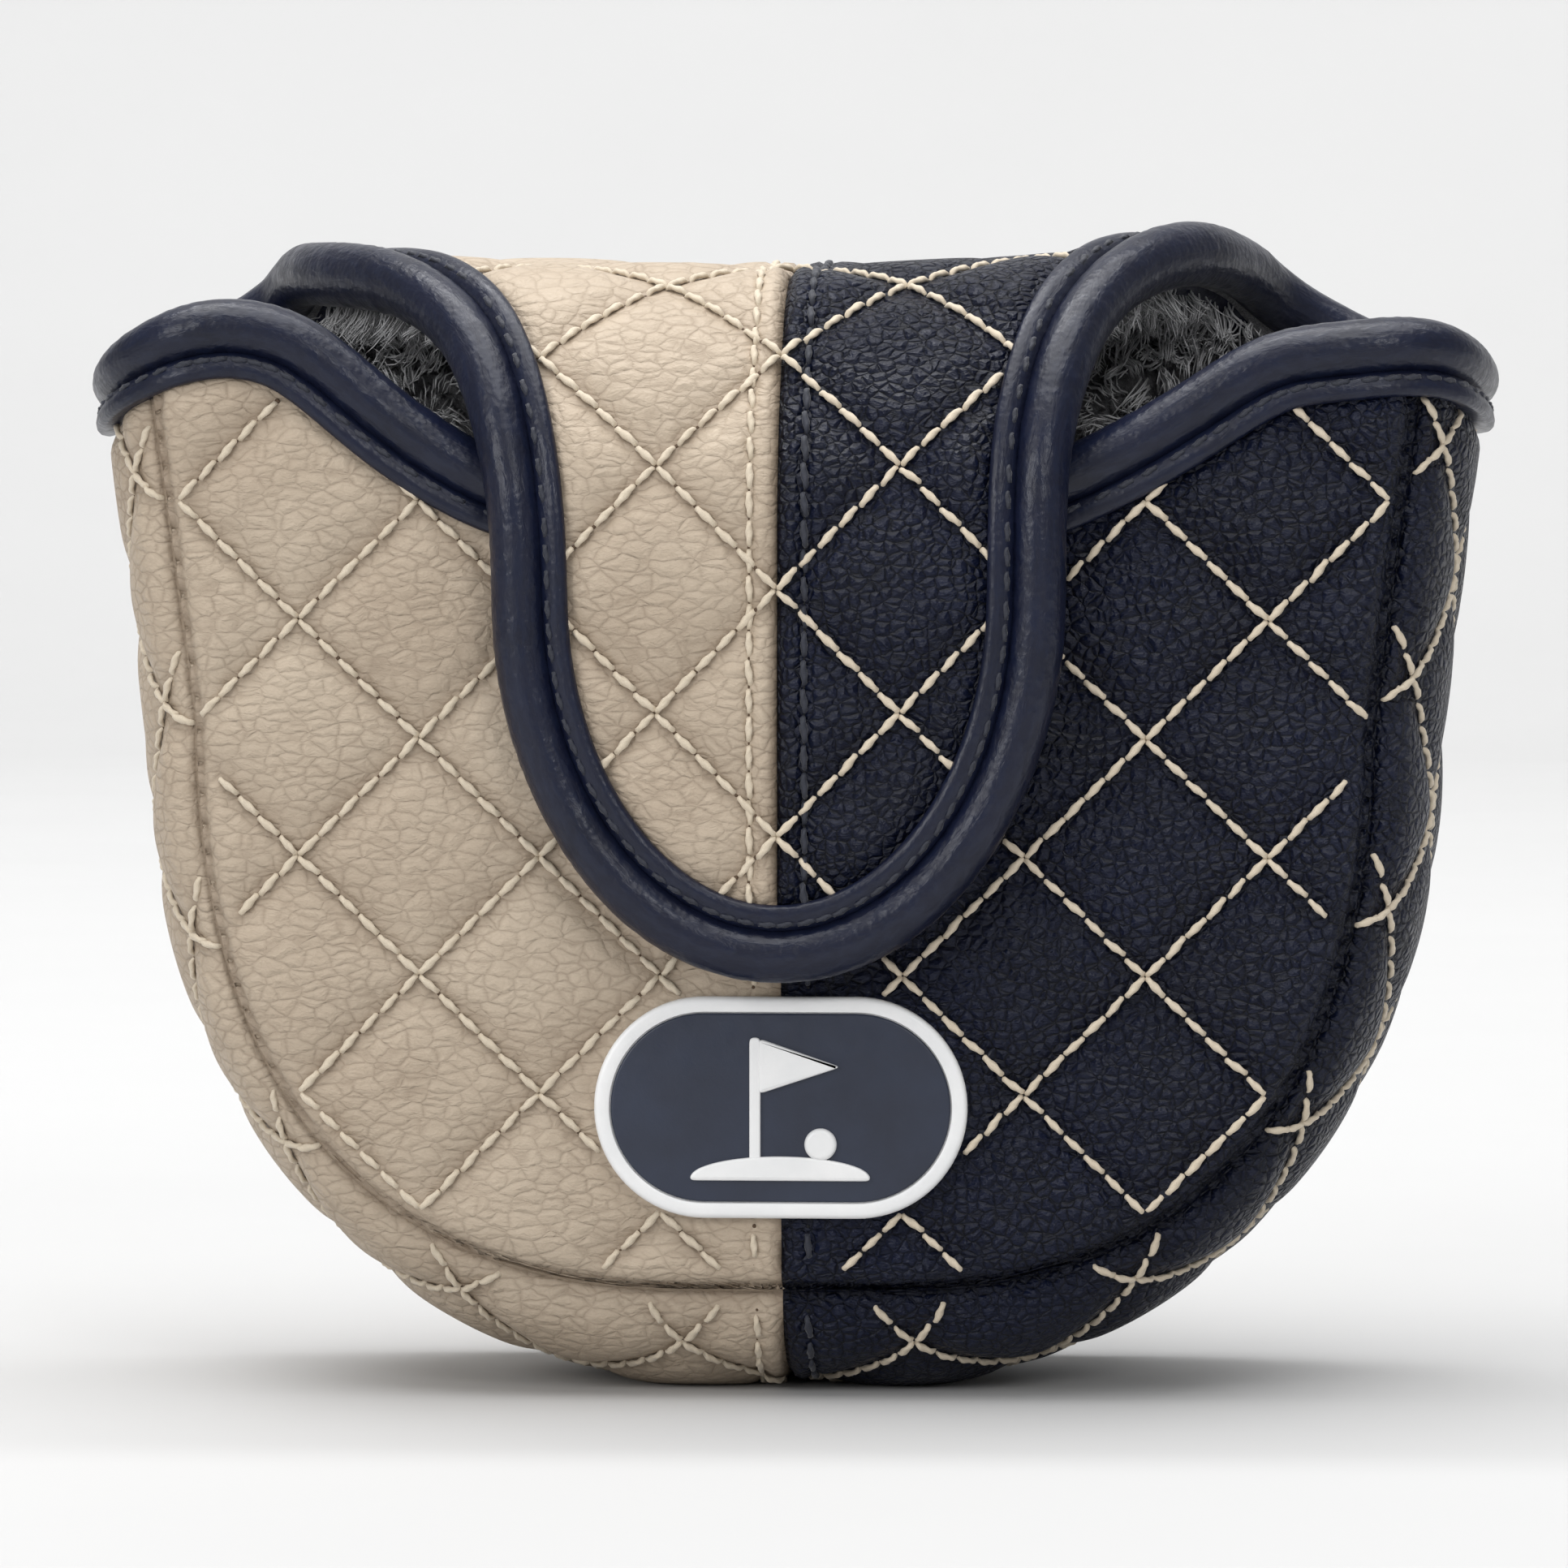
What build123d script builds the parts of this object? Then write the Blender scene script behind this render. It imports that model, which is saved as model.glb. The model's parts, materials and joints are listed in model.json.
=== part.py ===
"""Quilted putter head cover: a half-moon pouch for a mallet head, with a flap that folds over its mouth.

X runs across the cover, Y from front to back, Z up. The origin is under the middle of the cover, on the
surface that it stands on. Millimetres.
"""
from build123d import *
import os

# ---------------------------------------------------------------- driving dimensions
# layers of the quilted wall, from the outside in
LEATHER = 1.2
FOAM = 1.5
PLUSH = 2.4
WALL = LEATHER + FOAM + PLUSH

# pouch: depths of the front and back faces, and of the band where the gusset is fullest
FRONT_FACE = -20.9
BACK_FACE = 27.5
FULL_FRONT = -9.0
FULL_BACK = 14.0

# pouch outline at the fullest line of the gusset
CREST_FLAT = 10.0
CREST_HALF = 65.0
CREST_FLOOR = 0.0
CREST_SHOULDER = 65.0
CREST_TOP_HALF = 72.7
CREST_PULL = (0.40, 0.70)

# pouch outline at the seams of the front and back panels
SEAM_FLAT = 10.0
SEAM_HALF = 58.3
SEAM_FLOOR = 12.5
SEAM_SHOULDER = 68.0
SEAM_TOP_HALF = 66.6
SEAM_PULL = (0.52, 0.78)

# the outlines' closed top, well above the mouth that is cut out of them
LID = 130.0

# mouth: low in the middle of the front, high at both ears
MOUTH_LOW = 88.0
MOUTH_LOW_HALF = 22.0
EAR_TOP = 109.3
EAR_HALF = 55.5
EAR_END_TOP = 102.0
EAR_END_HALF = 73.0
BINDING_DEPTH = 5.6
BINDING_PROUD = 0.7
BINDING_LAP = 0.2
MOUTH_ZONE_BACK = 14.0

# lower end of the strip of back panel that runs up between the ears to the flap, and a level under the floor
ROOT_STRIP_LOW = 80.0
UNDER_FLOOR = -1.0

# flap: height of the fold, its corners and its half widths along the way
ROOT_TOP = 103.0
FOLD_TOP = 114.0
REAR_RADIUS = FOLD_TOP - ROOT_TOP
FRONT_RADIUS = 27.5
CROWN_DEPTH = 4.0
TONGUE_TOP = FOLD_TOP - FRONT_RADIUS
TONGUE_TIP = 42.9
TONGUE_SHOULDER = 81.0
ROOT_HALF = 55.0
CROWN_HALF = 43.0
KNEE_HALF = 32.0
KNEE_DEPTH = -12.0
TONGUE_HALF = 28.4
FLAP_BINDING = 5.0
HORN_GAP = 0.3
FLAP_PROUD = 1.6
PLAN_MARGIN = 2.0
CUT_MARGIN = 1.6

# folds: half the gap between two lengths of the flap
FOLD_GAP = 0.15

# closure magnets
MAGNET_RADIUS = 7.0
MAGNET_THICK = 1.2
MAGNET_HEIGHT = 62.0

# badge
BADGE_HALF = 18.5
BADGE_TOP = 40.6
BADGE_BOTTOM = 18.6
BADGE_BASE = 1.0
BADGE_RIM = 1.6
BADGE_FIELD = 0.5
BADGE_EMBLEM = 0.5
POLE_WIDTH = 1.1
POLE_HEIGHT = 14.0
POLE_OFFSET = 2.5
PENNANT_LENGTH = 8.0
PENNANT_HEIGHT = 5.5
MOUND_HALF = 9.0
MOUND_HEIGHT = 2.2
BALL_OFFSET = 4.0
BALL_RADIUS = 1.7
BALL_SINK = 0.5
ROUND_SLACK = 0.01

# Bezier handle of a quarter oval, as a share of its half axis
OVAL = 0.5523

# half size of the blocks that cut the layers, larger than the cover
REACH = 200.0

os.makedirs("parts", exist_ok=True)


def save(part, name):
    """Label one finished piece and write it."""
    part.label = name
    export_step(part, f"parts/{name}.step")


def pouch_section(depth, half, flat, floor, shoulder, top_half, pull):
    """U outline of the pouch at one depth: flat floor, round sides, straight lean up to a lid."""
    across = pull[0] * (half - flat)
    down = pull[1] * (shoulder - floor)
    with BuildSketch(Plane.XZ.offset(-depth)) as section:
        with BuildLine():
            Line((0, floor), (flat, floor))
            Bezier((flat, floor), (flat + across, floor), (half, shoulder - down), (half, shoulder))
            Line((half, shoulder), (top_half, LID))
            Line((top_half, LID), (0, LID))
            mirror(about=Plane.YZ)
        make_face()
    return section.sketch


def pouch(inset):
    """Solid bounded by the pouch's surface at one depth inside the outer leather."""
    def seam(depth):
        return pouch_section(
            depth, SEAM_HALF - inset, SEAM_FLAT, SEAM_FLOOR + inset, SEAM_SHOULDER, SEAM_TOP_HALF - inset, SEAM_PULL
        )

    def crest(depth):
        return pouch_section(
            depth, CREST_HALF - inset, CREST_FLAT, CREST_FLOOR + inset, CREST_SHOULDER,
            CREST_TOP_HALF - inset, CREST_PULL,
        )

    with BuildPart() as solid:
        loft(
            sections=[
                seam(FRONT_FACE + inset),
                crest(FULL_FRONT),
                crest(FULL_BACK),
                seam(BACK_FACE - inset),
            ],
            ruled=True,
        )
    return solid.part


def slab(low, high):
    """A box between two corners."""
    size = [high[i] - low[i] for i in range(3)]
    with BuildPart() as solid:
        with Locations(tuple(low)):
            Box(*size, align=Align.MIN)
    return solid.part


def under_mouth(drop):
    """Everything below the mouth's edge, lowered by a drop: S curves in front, a level step at the back."""
    low = MOUTH_LOW - drop
    high = EAR_TOP - drop
    end = EAR_END_TOP - drop
    middle = (MOUTH_LOW_HALF + EAR_HALF) / 2
    outer = (EAR_HALF + EAR_END_HALF) / 2
    step = ROOT_HALF + HORN_GAP + drop
    with BuildPart() as solid:
        with BuildSketch(Plane.XZ.offset(-MOUTH_ZONE_BACK)):
            with BuildLine():
                Line((0, low), (MOUTH_LOW_HALF, low))
                Bezier((MOUTH_LOW_HALF, low), (middle, low), (middle, high), (EAR_HALF, high))
                Bezier((EAR_HALF, high), (outer, high), (outer, end), (EAR_END_HALF, end))
                Line((EAR_END_HALF, end), (EAR_END_HALF, UNDER_FLOOR))
                Line((EAR_END_HALF, UNDER_FLOOR), (0, UNDER_FLOOR))
                mirror(about=Plane.YZ)
            make_face()
        extrude(amount=REACH)
        with BuildSketch(Plane.XZ.offset(-MOUTH_ZONE_BACK)):
            with BuildLine():
                Line((0, high), (EAR_HALF, high))
                Bezier((EAR_HALF, high), (outer, high), (outer, end), (EAR_END_HALF, end))
                Line((EAR_END_HALF, end), (EAR_END_HALF, UNDER_FLOOR))
                Line((EAR_END_HALF, UNDER_FLOOR), (0, UNDER_FLOOR))
                mirror(about=Plane.YZ)
            make_face()
        extrude(amount=-REACH)
        add(slab((-step, MOUTH_ZONE_BACK, ROOT_TOP - drop), (step, REACH, REACH)), mode=Mode.SUBTRACT)
    return solid.part


# ---------------------------------------------------------------- pouch walls
surfaces = [pouch(0), pouch(LEATHER), pouch(LEATHER + FOAM), pouch(WALL)]
below_binding = under_mouth(BINDING_DEPTH)
root_strip = slab(
    (-ROOT_HALF + FLAP_BINDING, MOUTH_ZONE_BACK, ROOT_STRIP_LOW),
    (ROOT_HALF - FLAP_BINDING, REACH, ROOT_TOP - FOLD_GAP),
)
wall_space = below_binding + root_strip


def layer(outer, inner):
    """One layer of the pouch wall, under the binding, and up to the fold line at the back."""
    with BuildPart() as solid:
        add(outer)
        add(inner, mode=Mode.SUBTRACT)
        add(wall_space, mode=Mode.INTERSECT)
    return solid.part


def cut_to(part, low, high):
    """The part of a layer that lies between two corners."""
    with BuildPart() as solid:
        add(part)
        add(slab(low, high), mode=Mode.INTERSECT)
    return solid.part


leather = layer(surfaces[0], surfaces[1])
foam = layer(surfaces[1], surfaces[2])
plush = layer(surfaces[2], surfaces[3])

front_line = {"leather": FRONT_FACE + LEATHER, "foam": FRONT_FACE + LEATHER + FOAM, "plush": FRONT_FACE + WALL}
back_line = {"leather": BACK_FACE - LEATHER, "foam": BACK_FACE - LEATHER - FOAM, "plush": BACK_FACE - WALL}
halves = {"tan": (-REACH, 0), "navy": (0, REACH)}

for colour, (left, right) in halves.items():
    front = cut_to(leather, (left, -REACH, -REACH), (right, front_line["leather"], REACH))
    back = cut_to(leather, (left, back_line["leather"], -REACH), (right, REACH, REACH))
    side = cut_to(leather, (left, front_line["leather"], -REACH), (right, back_line["leather"], REACH))
    save(front, f"front_panel_{colour}")
    save(back, f"back_panel_{colour}")
    save(side, f"gusset_{colour}")


def magnet(face, thickness):
    """A round magnet whose front face is at a given depth."""
    with BuildPart() as solid:
        with BuildSketch(Plane.XZ.offset(-face)):
            with Locations((0, MAGNET_HEIGHT)):
                Circle(MAGNET_RADIUS)
        extrude(amount=-thickness)
    return solid.part


front_magnet = magnet(front_line["leather"], MAGNET_THICK)
save(front_magnet, "front_magnet")

for name, part in (("foam", foam), ("lining", plush)):
    key = "plush" if name == "lining" else name
    front = cut_to(part, (-REACH, -REACH, -REACH), (REACH, front_line[key], REACH))
    with BuildPart() as front_piece:
        add(front)
        add(front_magnet, mode=Mode.SUBTRACT)
    save(front_piece.part, f"front_{name}")
    save(cut_to(part, (-REACH, back_line[key], -REACH), (REACH, REACH, REACH)), f"back_{name}")
    save(cut_to(part, (-REACH, front_line[key], -REACH), (REACH, back_line[key], REACH)), f"gusset_{name}")

# ---------------------------------------------------------------- mouth binding
with BuildPart() as mouth_binding:
    add(pouch(-BINDING_PROUD))
    add(pouch(WALL + BINDING_LAP), mode=Mode.SUBTRACT)
    add(under_mouth(0), mode=Mode.INTERSECT)
    add(below_binding, mode=Mode.SUBTRACT)
    add(slab((-REACH, FRONT_FACE, 0), (REACH, BACK_FACE, REACH)), mode=Mode.INTERSECT)
    add(
        slab((FLAP_BINDING - ROOT_HALF, MOUTH_ZONE_BACK, 0), (ROOT_HALF - FLAP_BINDING, REACH, REACH)),
        mode=Mode.SUBTRACT,
    )
    add(
        slab((-ROOT_HALF, MOUTH_ZONE_BACK, ROOT_TOP - FOLD_GAP), (ROOT_HALF, REACH, REACH)),
        mode=Mode.SUBTRACT,
    )
save(mouth_binding.part, "mouth_binding")


# ---------------------------------------------------------------- flap
def flap_bend(outer, inner):
    """The flap's bend between two depths inside its leather: a wide ring of rear corner, top and front."""
    rear_outer = REAR_RADIUS - outer
    rear_inner = REAR_RADIUS - inner
    rear_depth = BACK_FACE - REAR_RADIUS
    with BuildPart() as solid:
        with BuildSketch(Plane.YZ.offset(-REACH / 2)):
            with BuildLine():
                CenterArc((rear_depth, ROOT_TOP), rear_outer, 0, 90)
                Line((rear_depth, FOLD_TOP - outer), (0, FOLD_TOP - outer))
                CenterArc((0, TONGUE_TOP), FRONT_RADIUS - outer, 90, 90)
                Line((-FRONT_RADIUS + outer, TONGUE_TOP), (-FRONT_RADIUS + inner, TONGUE_TOP))
                CenterArc((0, TONGUE_TOP), FRONT_RADIUS - inner, 90, 90)
                Line((0, FOLD_TOP - inner), (rear_depth, FOLD_TOP - inner))
                CenterArc((rear_depth, ROOT_TOP), rear_inner, 0, 90)
                Line((BACK_FACE - inner, ROOT_TOP), (BACK_FACE - outer, ROOT_TOP))
            make_face()
        extrude(amount=REACH)
    return solid.part


def flap_plan(margin):
    """The flap's outline seen from above, narrower by a margin on each side."""
    root = ROOT_HALF - margin
    crown = CROWN_HALF - margin
    knee = KNEE_HALF - margin
    tongue = TONGUE_HALF - margin
    reach = FRONT_RADIUS + PLAN_MARGIN
    with BuildPart() as solid:
        with BuildSketch(Plane.XY):
            with BuildLine():
                Line((0, reach), (root, reach))
                Line((root, reach), (root, BACK_FACE - WALL))
                Line((root, BACK_FACE - WALL), (crown, CROWN_DEPTH))
                Line((crown, CROWN_DEPTH), (knee, KNEE_DEPTH))
                Line((knee, KNEE_DEPTH), (tongue, WALL - FRONT_RADIUS))
                Line((tongue, WALL - FRONT_RADIUS), (tongue, -reach))
                Line((tongue, -reach), (0, -reach))
                mirror(about=Plane.YZ)
            make_face()
        extrude(amount=REACH)
    return solid.part


def tongue_outline(depth, thickness, margin):
    """The hanging tongue from one depth inwards: straight sides and an oval tip, narrower by a margin."""
    half = TONGUE_HALF - margin
    tip = TONGUE_TIP + margin
    shoulder = TONGUE_SHOULDER
    round_half = OVAL * half
    round_tip = shoulder - OVAL * (shoulder - tip)
    with BuildPart() as solid:
        with BuildSketch(Plane.XZ.offset(-depth)):
            with BuildLine():
                Line((0, TONGUE_TOP), (half, TONGUE_TOP))
                Line((half, TONGUE_TOP), (half, shoulder))
                Bezier((half, shoulder), (half, round_tip), (round_half, tip), (0, tip))
                mirror(about=Plane.YZ)
            make_face()
        extrude(amount=-thickness)
    return solid.part


below_tongue_fold = slab((-REACH, -REACH, 0), (REACH, REACH, TONGUE_TOP - FOLD_GAP))
lengths = {
    "flap_rear": ((-REACH, CROWN_DEPTH + FOLD_GAP, ROOT_TOP + FOLD_GAP), (REACH, REACH, REACH)),
    "flap_front": ((-REACH, -REACH, TONGUE_TOP + FOLD_GAP), (REACH, CROWN_DEPTH - FOLD_GAP, REACH)),
}
layers = {"leather": (0, LEATHER), "foam": (LEATHER, LEATHER + FOAM), "lining": (LEATHER + FOAM, WALL)}
full_plan = flap_plan(0)
inner_plan = flap_plan(FLAP_BINDING)

for length, (low, high) in lengths.items():
    for name, (outer, inner) in layers.items():
        with BuildPart() as sheet:
            add(flap_bend(outer, inner))
            add(inner_plan, mode=Mode.INTERSECT)
            add(slab(low, high), mode=Mode.INTERSECT)
        if name == "leather":
            for colour, (left, right) in halves.items():
                save(cut_to(sheet.part, (left, -REACH, -REACH), (right, REACH, REACH)), f"{length}_{colour}")
        else:
            save(sheet.part, f"{length}_{name}")
    with BuildPart() as strip:
        add(flap_bend(-FLAP_PROUD, WALL))
        add(full_plan, mode=Mode.INTERSECT)
        add(inner_plan, mode=Mode.SUBTRACT)
        add(slab(low, high), mode=Mode.INTERSECT)
    save(cut_to(strip.part, (-REACH, -REACH, -REACH), (0, REACH, REACH)), f"{length}_binding_left")
    save(cut_to(strip.part, (0, -REACH, -REACH), (REACH, REACH, REACH)), f"{length}_binding_right")

tongue_magnet = magnet(-FRONT_RADIUS + LEATHER, MAGNET_THICK)
save(tongue_magnet, "tongue_magnet")
for name, (outer, inner) in layers.items():
    with BuildPart() as sheet:
        add(tongue_outline(-FRONT_RADIUS + outer, inner - outer, FLAP_BINDING))
        add(below_tongue_fold, mode=Mode.INTERSECT)
        add(tongue_magnet, mode=Mode.SUBTRACT)
    if name == "leather":
        for colour, (left, right) in halves.items():
            save(cut_to(sheet.part, (left, -REACH, -REACH), (right, REACH, REACH)), f"tongue_{colour}")
    else:
        save(sheet.part, f"tongue_{name}")
with BuildPart() as strip:
    add(tongue_outline(-FRONT_RADIUS - FLAP_PROUD, WALL + FLAP_PROUD, 0))
    add(
        tongue_outline(-FRONT_RADIUS - FLAP_PROUD - CUT_MARGIN, WALL + FLAP_PROUD + 2 * CUT_MARGIN, FLAP_BINDING),
        mode=Mode.SUBTRACT,
    )
    add(below_tongue_fold, mode=Mode.INTERSECT)
save(strip.part, "tongue_binding")

# ---------------------------------------------------------------- badge
badge_height = BADGE_TOP - BADGE_BOTTOM
badge_middle = (BADGE_TOP + BADGE_BOTTOM) / 2


def badge_plate(face, thickness, margin):
    """A rounded plate of the badge's outline, smaller by a margin, with its back at a given depth."""
    with BuildPart() as solid:
        with BuildSketch(Plane.XZ.offset(-face)):
            with Locations((0, badge_middle)):
                radius = badge_height / 2 - margin - ROUND_SLACK
                RectangleRounded(2 * (BADGE_HALF - margin), badge_height - 2 * margin, radius)
        extrude(amount=thickness)
    return solid.part


with BuildPart() as badge_base:
    add(badge_plate(FRONT_FACE, BADGE_BASE + BADGE_FIELD, 0))
    add(badge_plate(FRONT_FACE - BADGE_BASE, BADGE_FIELD, BADGE_RIM), mode=Mode.SUBTRACT)
save(badge_base.part, "badge_base")
save(badge_plate(FRONT_FACE - BADGE_BASE, BADGE_FIELD, BADGE_RIM), "badge_field")

# emblem: a pennant on its pole, standing on a mound with a ball beside it
emblem_face = FRONT_FACE - BADGE_BASE - BADGE_FIELD
pole_foot = badge_middle - POLE_HEIGHT / 2
pole_top = badge_middle + POLE_HEIGHT / 2
pennant_tip = (-POLE_OFFSET + PENNANT_LENGTH, pole_top - PENNANT_HEIGHT / 2)
with BuildPart() as badge_emblem:
    with BuildSketch(Plane.XZ.offset(-emblem_face)):
        with Locations((-POLE_OFFSET, badge_middle)):
            Rectangle(POLE_WIDTH, POLE_HEIGHT)
        with BuildLine():
            Line((-POLE_OFFSET, pole_top), pennant_tip)
            Line(pennant_tip, (-POLE_OFFSET, pole_top - PENNANT_HEIGHT))
            Line((-POLE_OFFSET, pole_top - PENNANT_HEIGHT), (-POLE_OFFSET, pole_top))
        make_face()
        with BuildLine():
            ThreePointArc((-MOUND_HALF, pole_foot), (0, pole_foot + MOUND_HEIGHT), (MOUND_HALF, pole_foot))
            Line((MOUND_HALF, pole_foot), (-MOUND_HALF, pole_foot))
        make_face()
        with Locations((BALL_OFFSET, pole_foot + MOUND_HEIGHT + BALL_RADIUS - BALL_SINK)):
            Circle(BALL_RADIUS)
    extrude(amount=BADGE_EMBLEM)
save(badge_emblem.part, "badge_emblem")
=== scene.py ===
import json
import math
import bpy
import numpy as np
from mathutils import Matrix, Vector


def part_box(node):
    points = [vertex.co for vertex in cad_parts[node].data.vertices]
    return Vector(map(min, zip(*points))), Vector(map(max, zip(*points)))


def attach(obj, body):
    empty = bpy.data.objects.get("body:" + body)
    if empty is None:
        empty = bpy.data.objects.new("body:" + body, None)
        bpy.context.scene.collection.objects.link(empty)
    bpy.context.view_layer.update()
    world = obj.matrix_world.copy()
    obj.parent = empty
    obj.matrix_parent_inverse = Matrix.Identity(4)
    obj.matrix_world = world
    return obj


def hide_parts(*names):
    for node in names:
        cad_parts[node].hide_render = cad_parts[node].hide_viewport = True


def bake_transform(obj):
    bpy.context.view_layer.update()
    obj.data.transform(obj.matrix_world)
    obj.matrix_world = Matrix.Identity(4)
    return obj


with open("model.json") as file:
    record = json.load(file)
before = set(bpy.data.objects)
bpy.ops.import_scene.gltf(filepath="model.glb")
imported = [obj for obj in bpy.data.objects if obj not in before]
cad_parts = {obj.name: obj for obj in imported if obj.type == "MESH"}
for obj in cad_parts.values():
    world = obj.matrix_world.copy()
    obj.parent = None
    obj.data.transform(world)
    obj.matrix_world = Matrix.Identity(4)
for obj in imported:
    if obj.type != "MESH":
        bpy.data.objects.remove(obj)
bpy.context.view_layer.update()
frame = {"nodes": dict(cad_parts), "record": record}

# Putter head cover: leather, quilting threads, rolled binding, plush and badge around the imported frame.
# The shapes are worked out in millimetres and written to the meshes in metres.

MM = 0.001
draw = np.random.default_rng(11)


def box_mm(node):
    """A node's lowest and highest corners in millimetres."""
    low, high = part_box(node)
    return np.array(low) / MM, np.array(high) / MM


# ---------------------------------------------------------------- sizes from the frame (mm)
FRONT_FACE = box_mm("front_panel_tan")[0][1]
BACK_FACE = box_mm("back_panel_tan")[1][1]
CREST_FLOOR = box_mm("gusset_tan")[0][2]
SEAM_FLOOR = box_mm("front_panel_tan")[0][2]
FOLD_TOP = box_mm("flap_rear_tan")[1][2]
TONGUE_HALF = box_mm("tongue_binding")[1][0]
TONGUE_TIP = box_mm("tongue_binding")[0][2]
ROOT_HALF = box_mm("flap_rear_binding_right")[1][0]
joint_places = {j["name"]: np.array(j["pos_m"]) / MM for j in frame["record"]["behaviour"]["joints"]}
ROOT_TOP = joint_places["root_fold"][2]
TONGUE_TOP = joint_places["tongue_fold"][2]
FRONT_RADIUS = FOLD_TOP - TONGUE_TOP
REAR_RADIUS = FOLD_TOP - ROOT_TOP

# outlines of the pouch: at the seams of its panels, and at the fullest line of its gusset
SEAM_LINE = dict(half=58.3, flat=10.0, floor=SEAM_FLOOR, shoulder=68.0, top_half=66.6, pull=(0.52, 0.78))
CREST_LINE = dict(half=65.0, flat=10.0, floor=CREST_FLOOR, shoulder=65.0, top_half=72.7, pull=(0.40, 0.70))
LID = 130.0
SEAM_ROUND = 2.4
GUSSET_POWER = 2.2

# quilting: the two diagonals of a square, how far the threads sink and how far the squares stand up
QUILT_ACROSS = 24.0
QUILT_FRONT = 23.5
QUILT_FLAP = 24.3
QUILT_GUSSET = 24.0
FRONT_CROSSING = 42.6
FLAP_CROSSING = 81.6
GUSSET_CROSSING = (1.5, 5.0)
QUILT_SINK = 0.45
QUILT_PUFF = 1.15
QUILT_SHOULDER = 2.3
TOPSTITCH = 2.7
STITCHES_PER_SIDE = 6

# threads, leather and lining
THREAD = 0.35
STITCH_SHARE = 1.04
LEATHER = 1.0
FLOOR_CROWDING = 0.06
SEAM_FOLD = 0.6
SEAM_SWELL = 0.5
SEAM_PULL = (0.5, 0.8)
SEAM_FADE = 4.0
BINDING_FADE = (6.0, 10.0)
BINDING_SINK = 0.9
LINING_CORNER = 2.9
PADDING = (1.1, 2.7)
LINING = (2.9, 4.4)
BAND_UNDER = 4.3


# ---------------------------------------------------------------- small geometry helpers
def linear(red, green, blue):
    """A colour given as 8-bit screen values, as the linear values that a shader takes."""
    def one(v):
        v = v / 255
        return v / 12.92 if v <= 0.04045 else ((v + 0.055) / 1.055) ** 2.4
    return (one(red), one(green), one(blue), 1.0)


def smoothstep(low, high, value):
    t = np.clip((value - low) / (high - low), 0, 1)
    return t * t * (3 - 2 * t)


def unit(v):
    return v / np.maximum(np.linalg.norm(v, axis=-1, keepdims=True), 1e-9)


def lengths_along(points):
    """Distance along a polyline at each of its points."""
    return np.concatenate([[0], np.cumsum(np.linalg.norm(np.diff(points, axis=0), axis=1))])


def resample(points, step):
    """The same polyline with evenly spaced points."""
    along = lengths_along(points)
    at = np.linspace(0, along[-1], max(2, int(round(along[-1] / step)) + 1))
    return np.column_stack([np.interp(at, along, points[:, k]) for k in range(points.shape[1])])


def bell(reach):
    """Weights of a running average, out to three times its reach."""
    weights = np.exp(-0.5 * (np.arange(-3 * reach, 3 * reach + 1) / reach) ** 2)
    return weights / weights.sum()


def soften_loop(points, reach):
    """Running average round a closed line."""
    wrapped = np.vstack([points[-3 * reach:], points, points[:3 * reach]])
    return np.column_stack([np.convolve(column, bell(reach), mode="valid") for column in wrapped.T])


def distance_to(points, line, batch=3000):
    """Distance from each point to the nearest point of a line."""
    out = np.empty(len(points))
    for i in range(0, len(points), batch):
        gaps = points[i:i + batch, None] - line[None]
        out[i:i + batch] = np.sqrt((gaps ** 2).sum(-1)).min(1)
    return out


def turned_back(distance, radius):
    """How far a rounded edge falls back at a distance from its end."""
    edge = radius - np.clip(distance, 0, radius)
    return radius - np.sqrt(np.maximum(radius ** 2 - edge ** 2, 0))


def ring_directions(axis, spin):
    """Unit directions round each axis, at the angles of spin."""
    helper = np.where(np.abs(axis[:, :1]) < 0.8, [[1.0, 0, 0]], [[0, 1.0, 0]])
    one = unit(np.cross(axis, helper))
    two = unit(np.cross(axis, one))
    return np.cos(spin)[None, :, None] * one[:, None] + np.sin(spin)[None, :, None] * two[:, None]


def soften(values, reach):
    """Running average along the first axis, with the ends kept in place."""
    kernel = bell(reach)
    pad = 3 * reach
    columns = []
    for column in values.T:
        first = 2 * column[0] - column[pad:0:-1]
        last = 2 * column[-1] - column[-2:-pad - 2:-1]
        columns.append(np.convolve(np.concatenate([first, column, last]), kernel, mode="valid"))
    return np.column_stack(columns)


def bezier(a, b, c, d, count=200):
    t = np.linspace(0, 1, count)[:, None]
    a, b, c, d = (np.array(p, float) for p in (a, b, c, d))
    return (1 - t) ** 3 * a + 3 * (1 - t) ** 2 * t * b + 3 * (1 - t) * t * t * c + t ** 3 * d


def through(points, step):
    """A smooth curve through given points (Catmull-Rom), evenly sampled."""
    p = np.array(points, float)
    p = np.vstack([2 * p[0] - p[1], p, 2 * p[-1] - p[-2]])
    parts = []
    for i in range(1, len(p) - 2):
        t = np.linspace(0, 1, 24, endpoint=i == len(p) - 3)[:, None]
        a, b, c, d = p[i - 1], p[i], p[i + 1], p[i + 2]
        square, cube = 2 * a - 5 * b + 4 * c - d, 3 * b - a - 3 * c + d
        parts.append(0.5 * (2 * b + (c - a) * t + square * t ** 2 + cube * t ** 3))
    return resample(np.vstack(parts), step)


# ---------------------------------------------------------------- outlines
def half_outline(half, flat, floor, shoulder, top_half, pull):
    """Right half of a pouch outline in (x, z), from the middle of its floor up to the lid."""
    across = pull[0] * (half - flat)
    down = pull[1] * (shoulder - floor)
    side = bezier((flat, floor), (flat + across, floor), (half, shoulder - down), (half, shoulder))
    return resample(np.vstack([[(0, floor)], side, [(top_half, LID)]]), 0.4)


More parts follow.
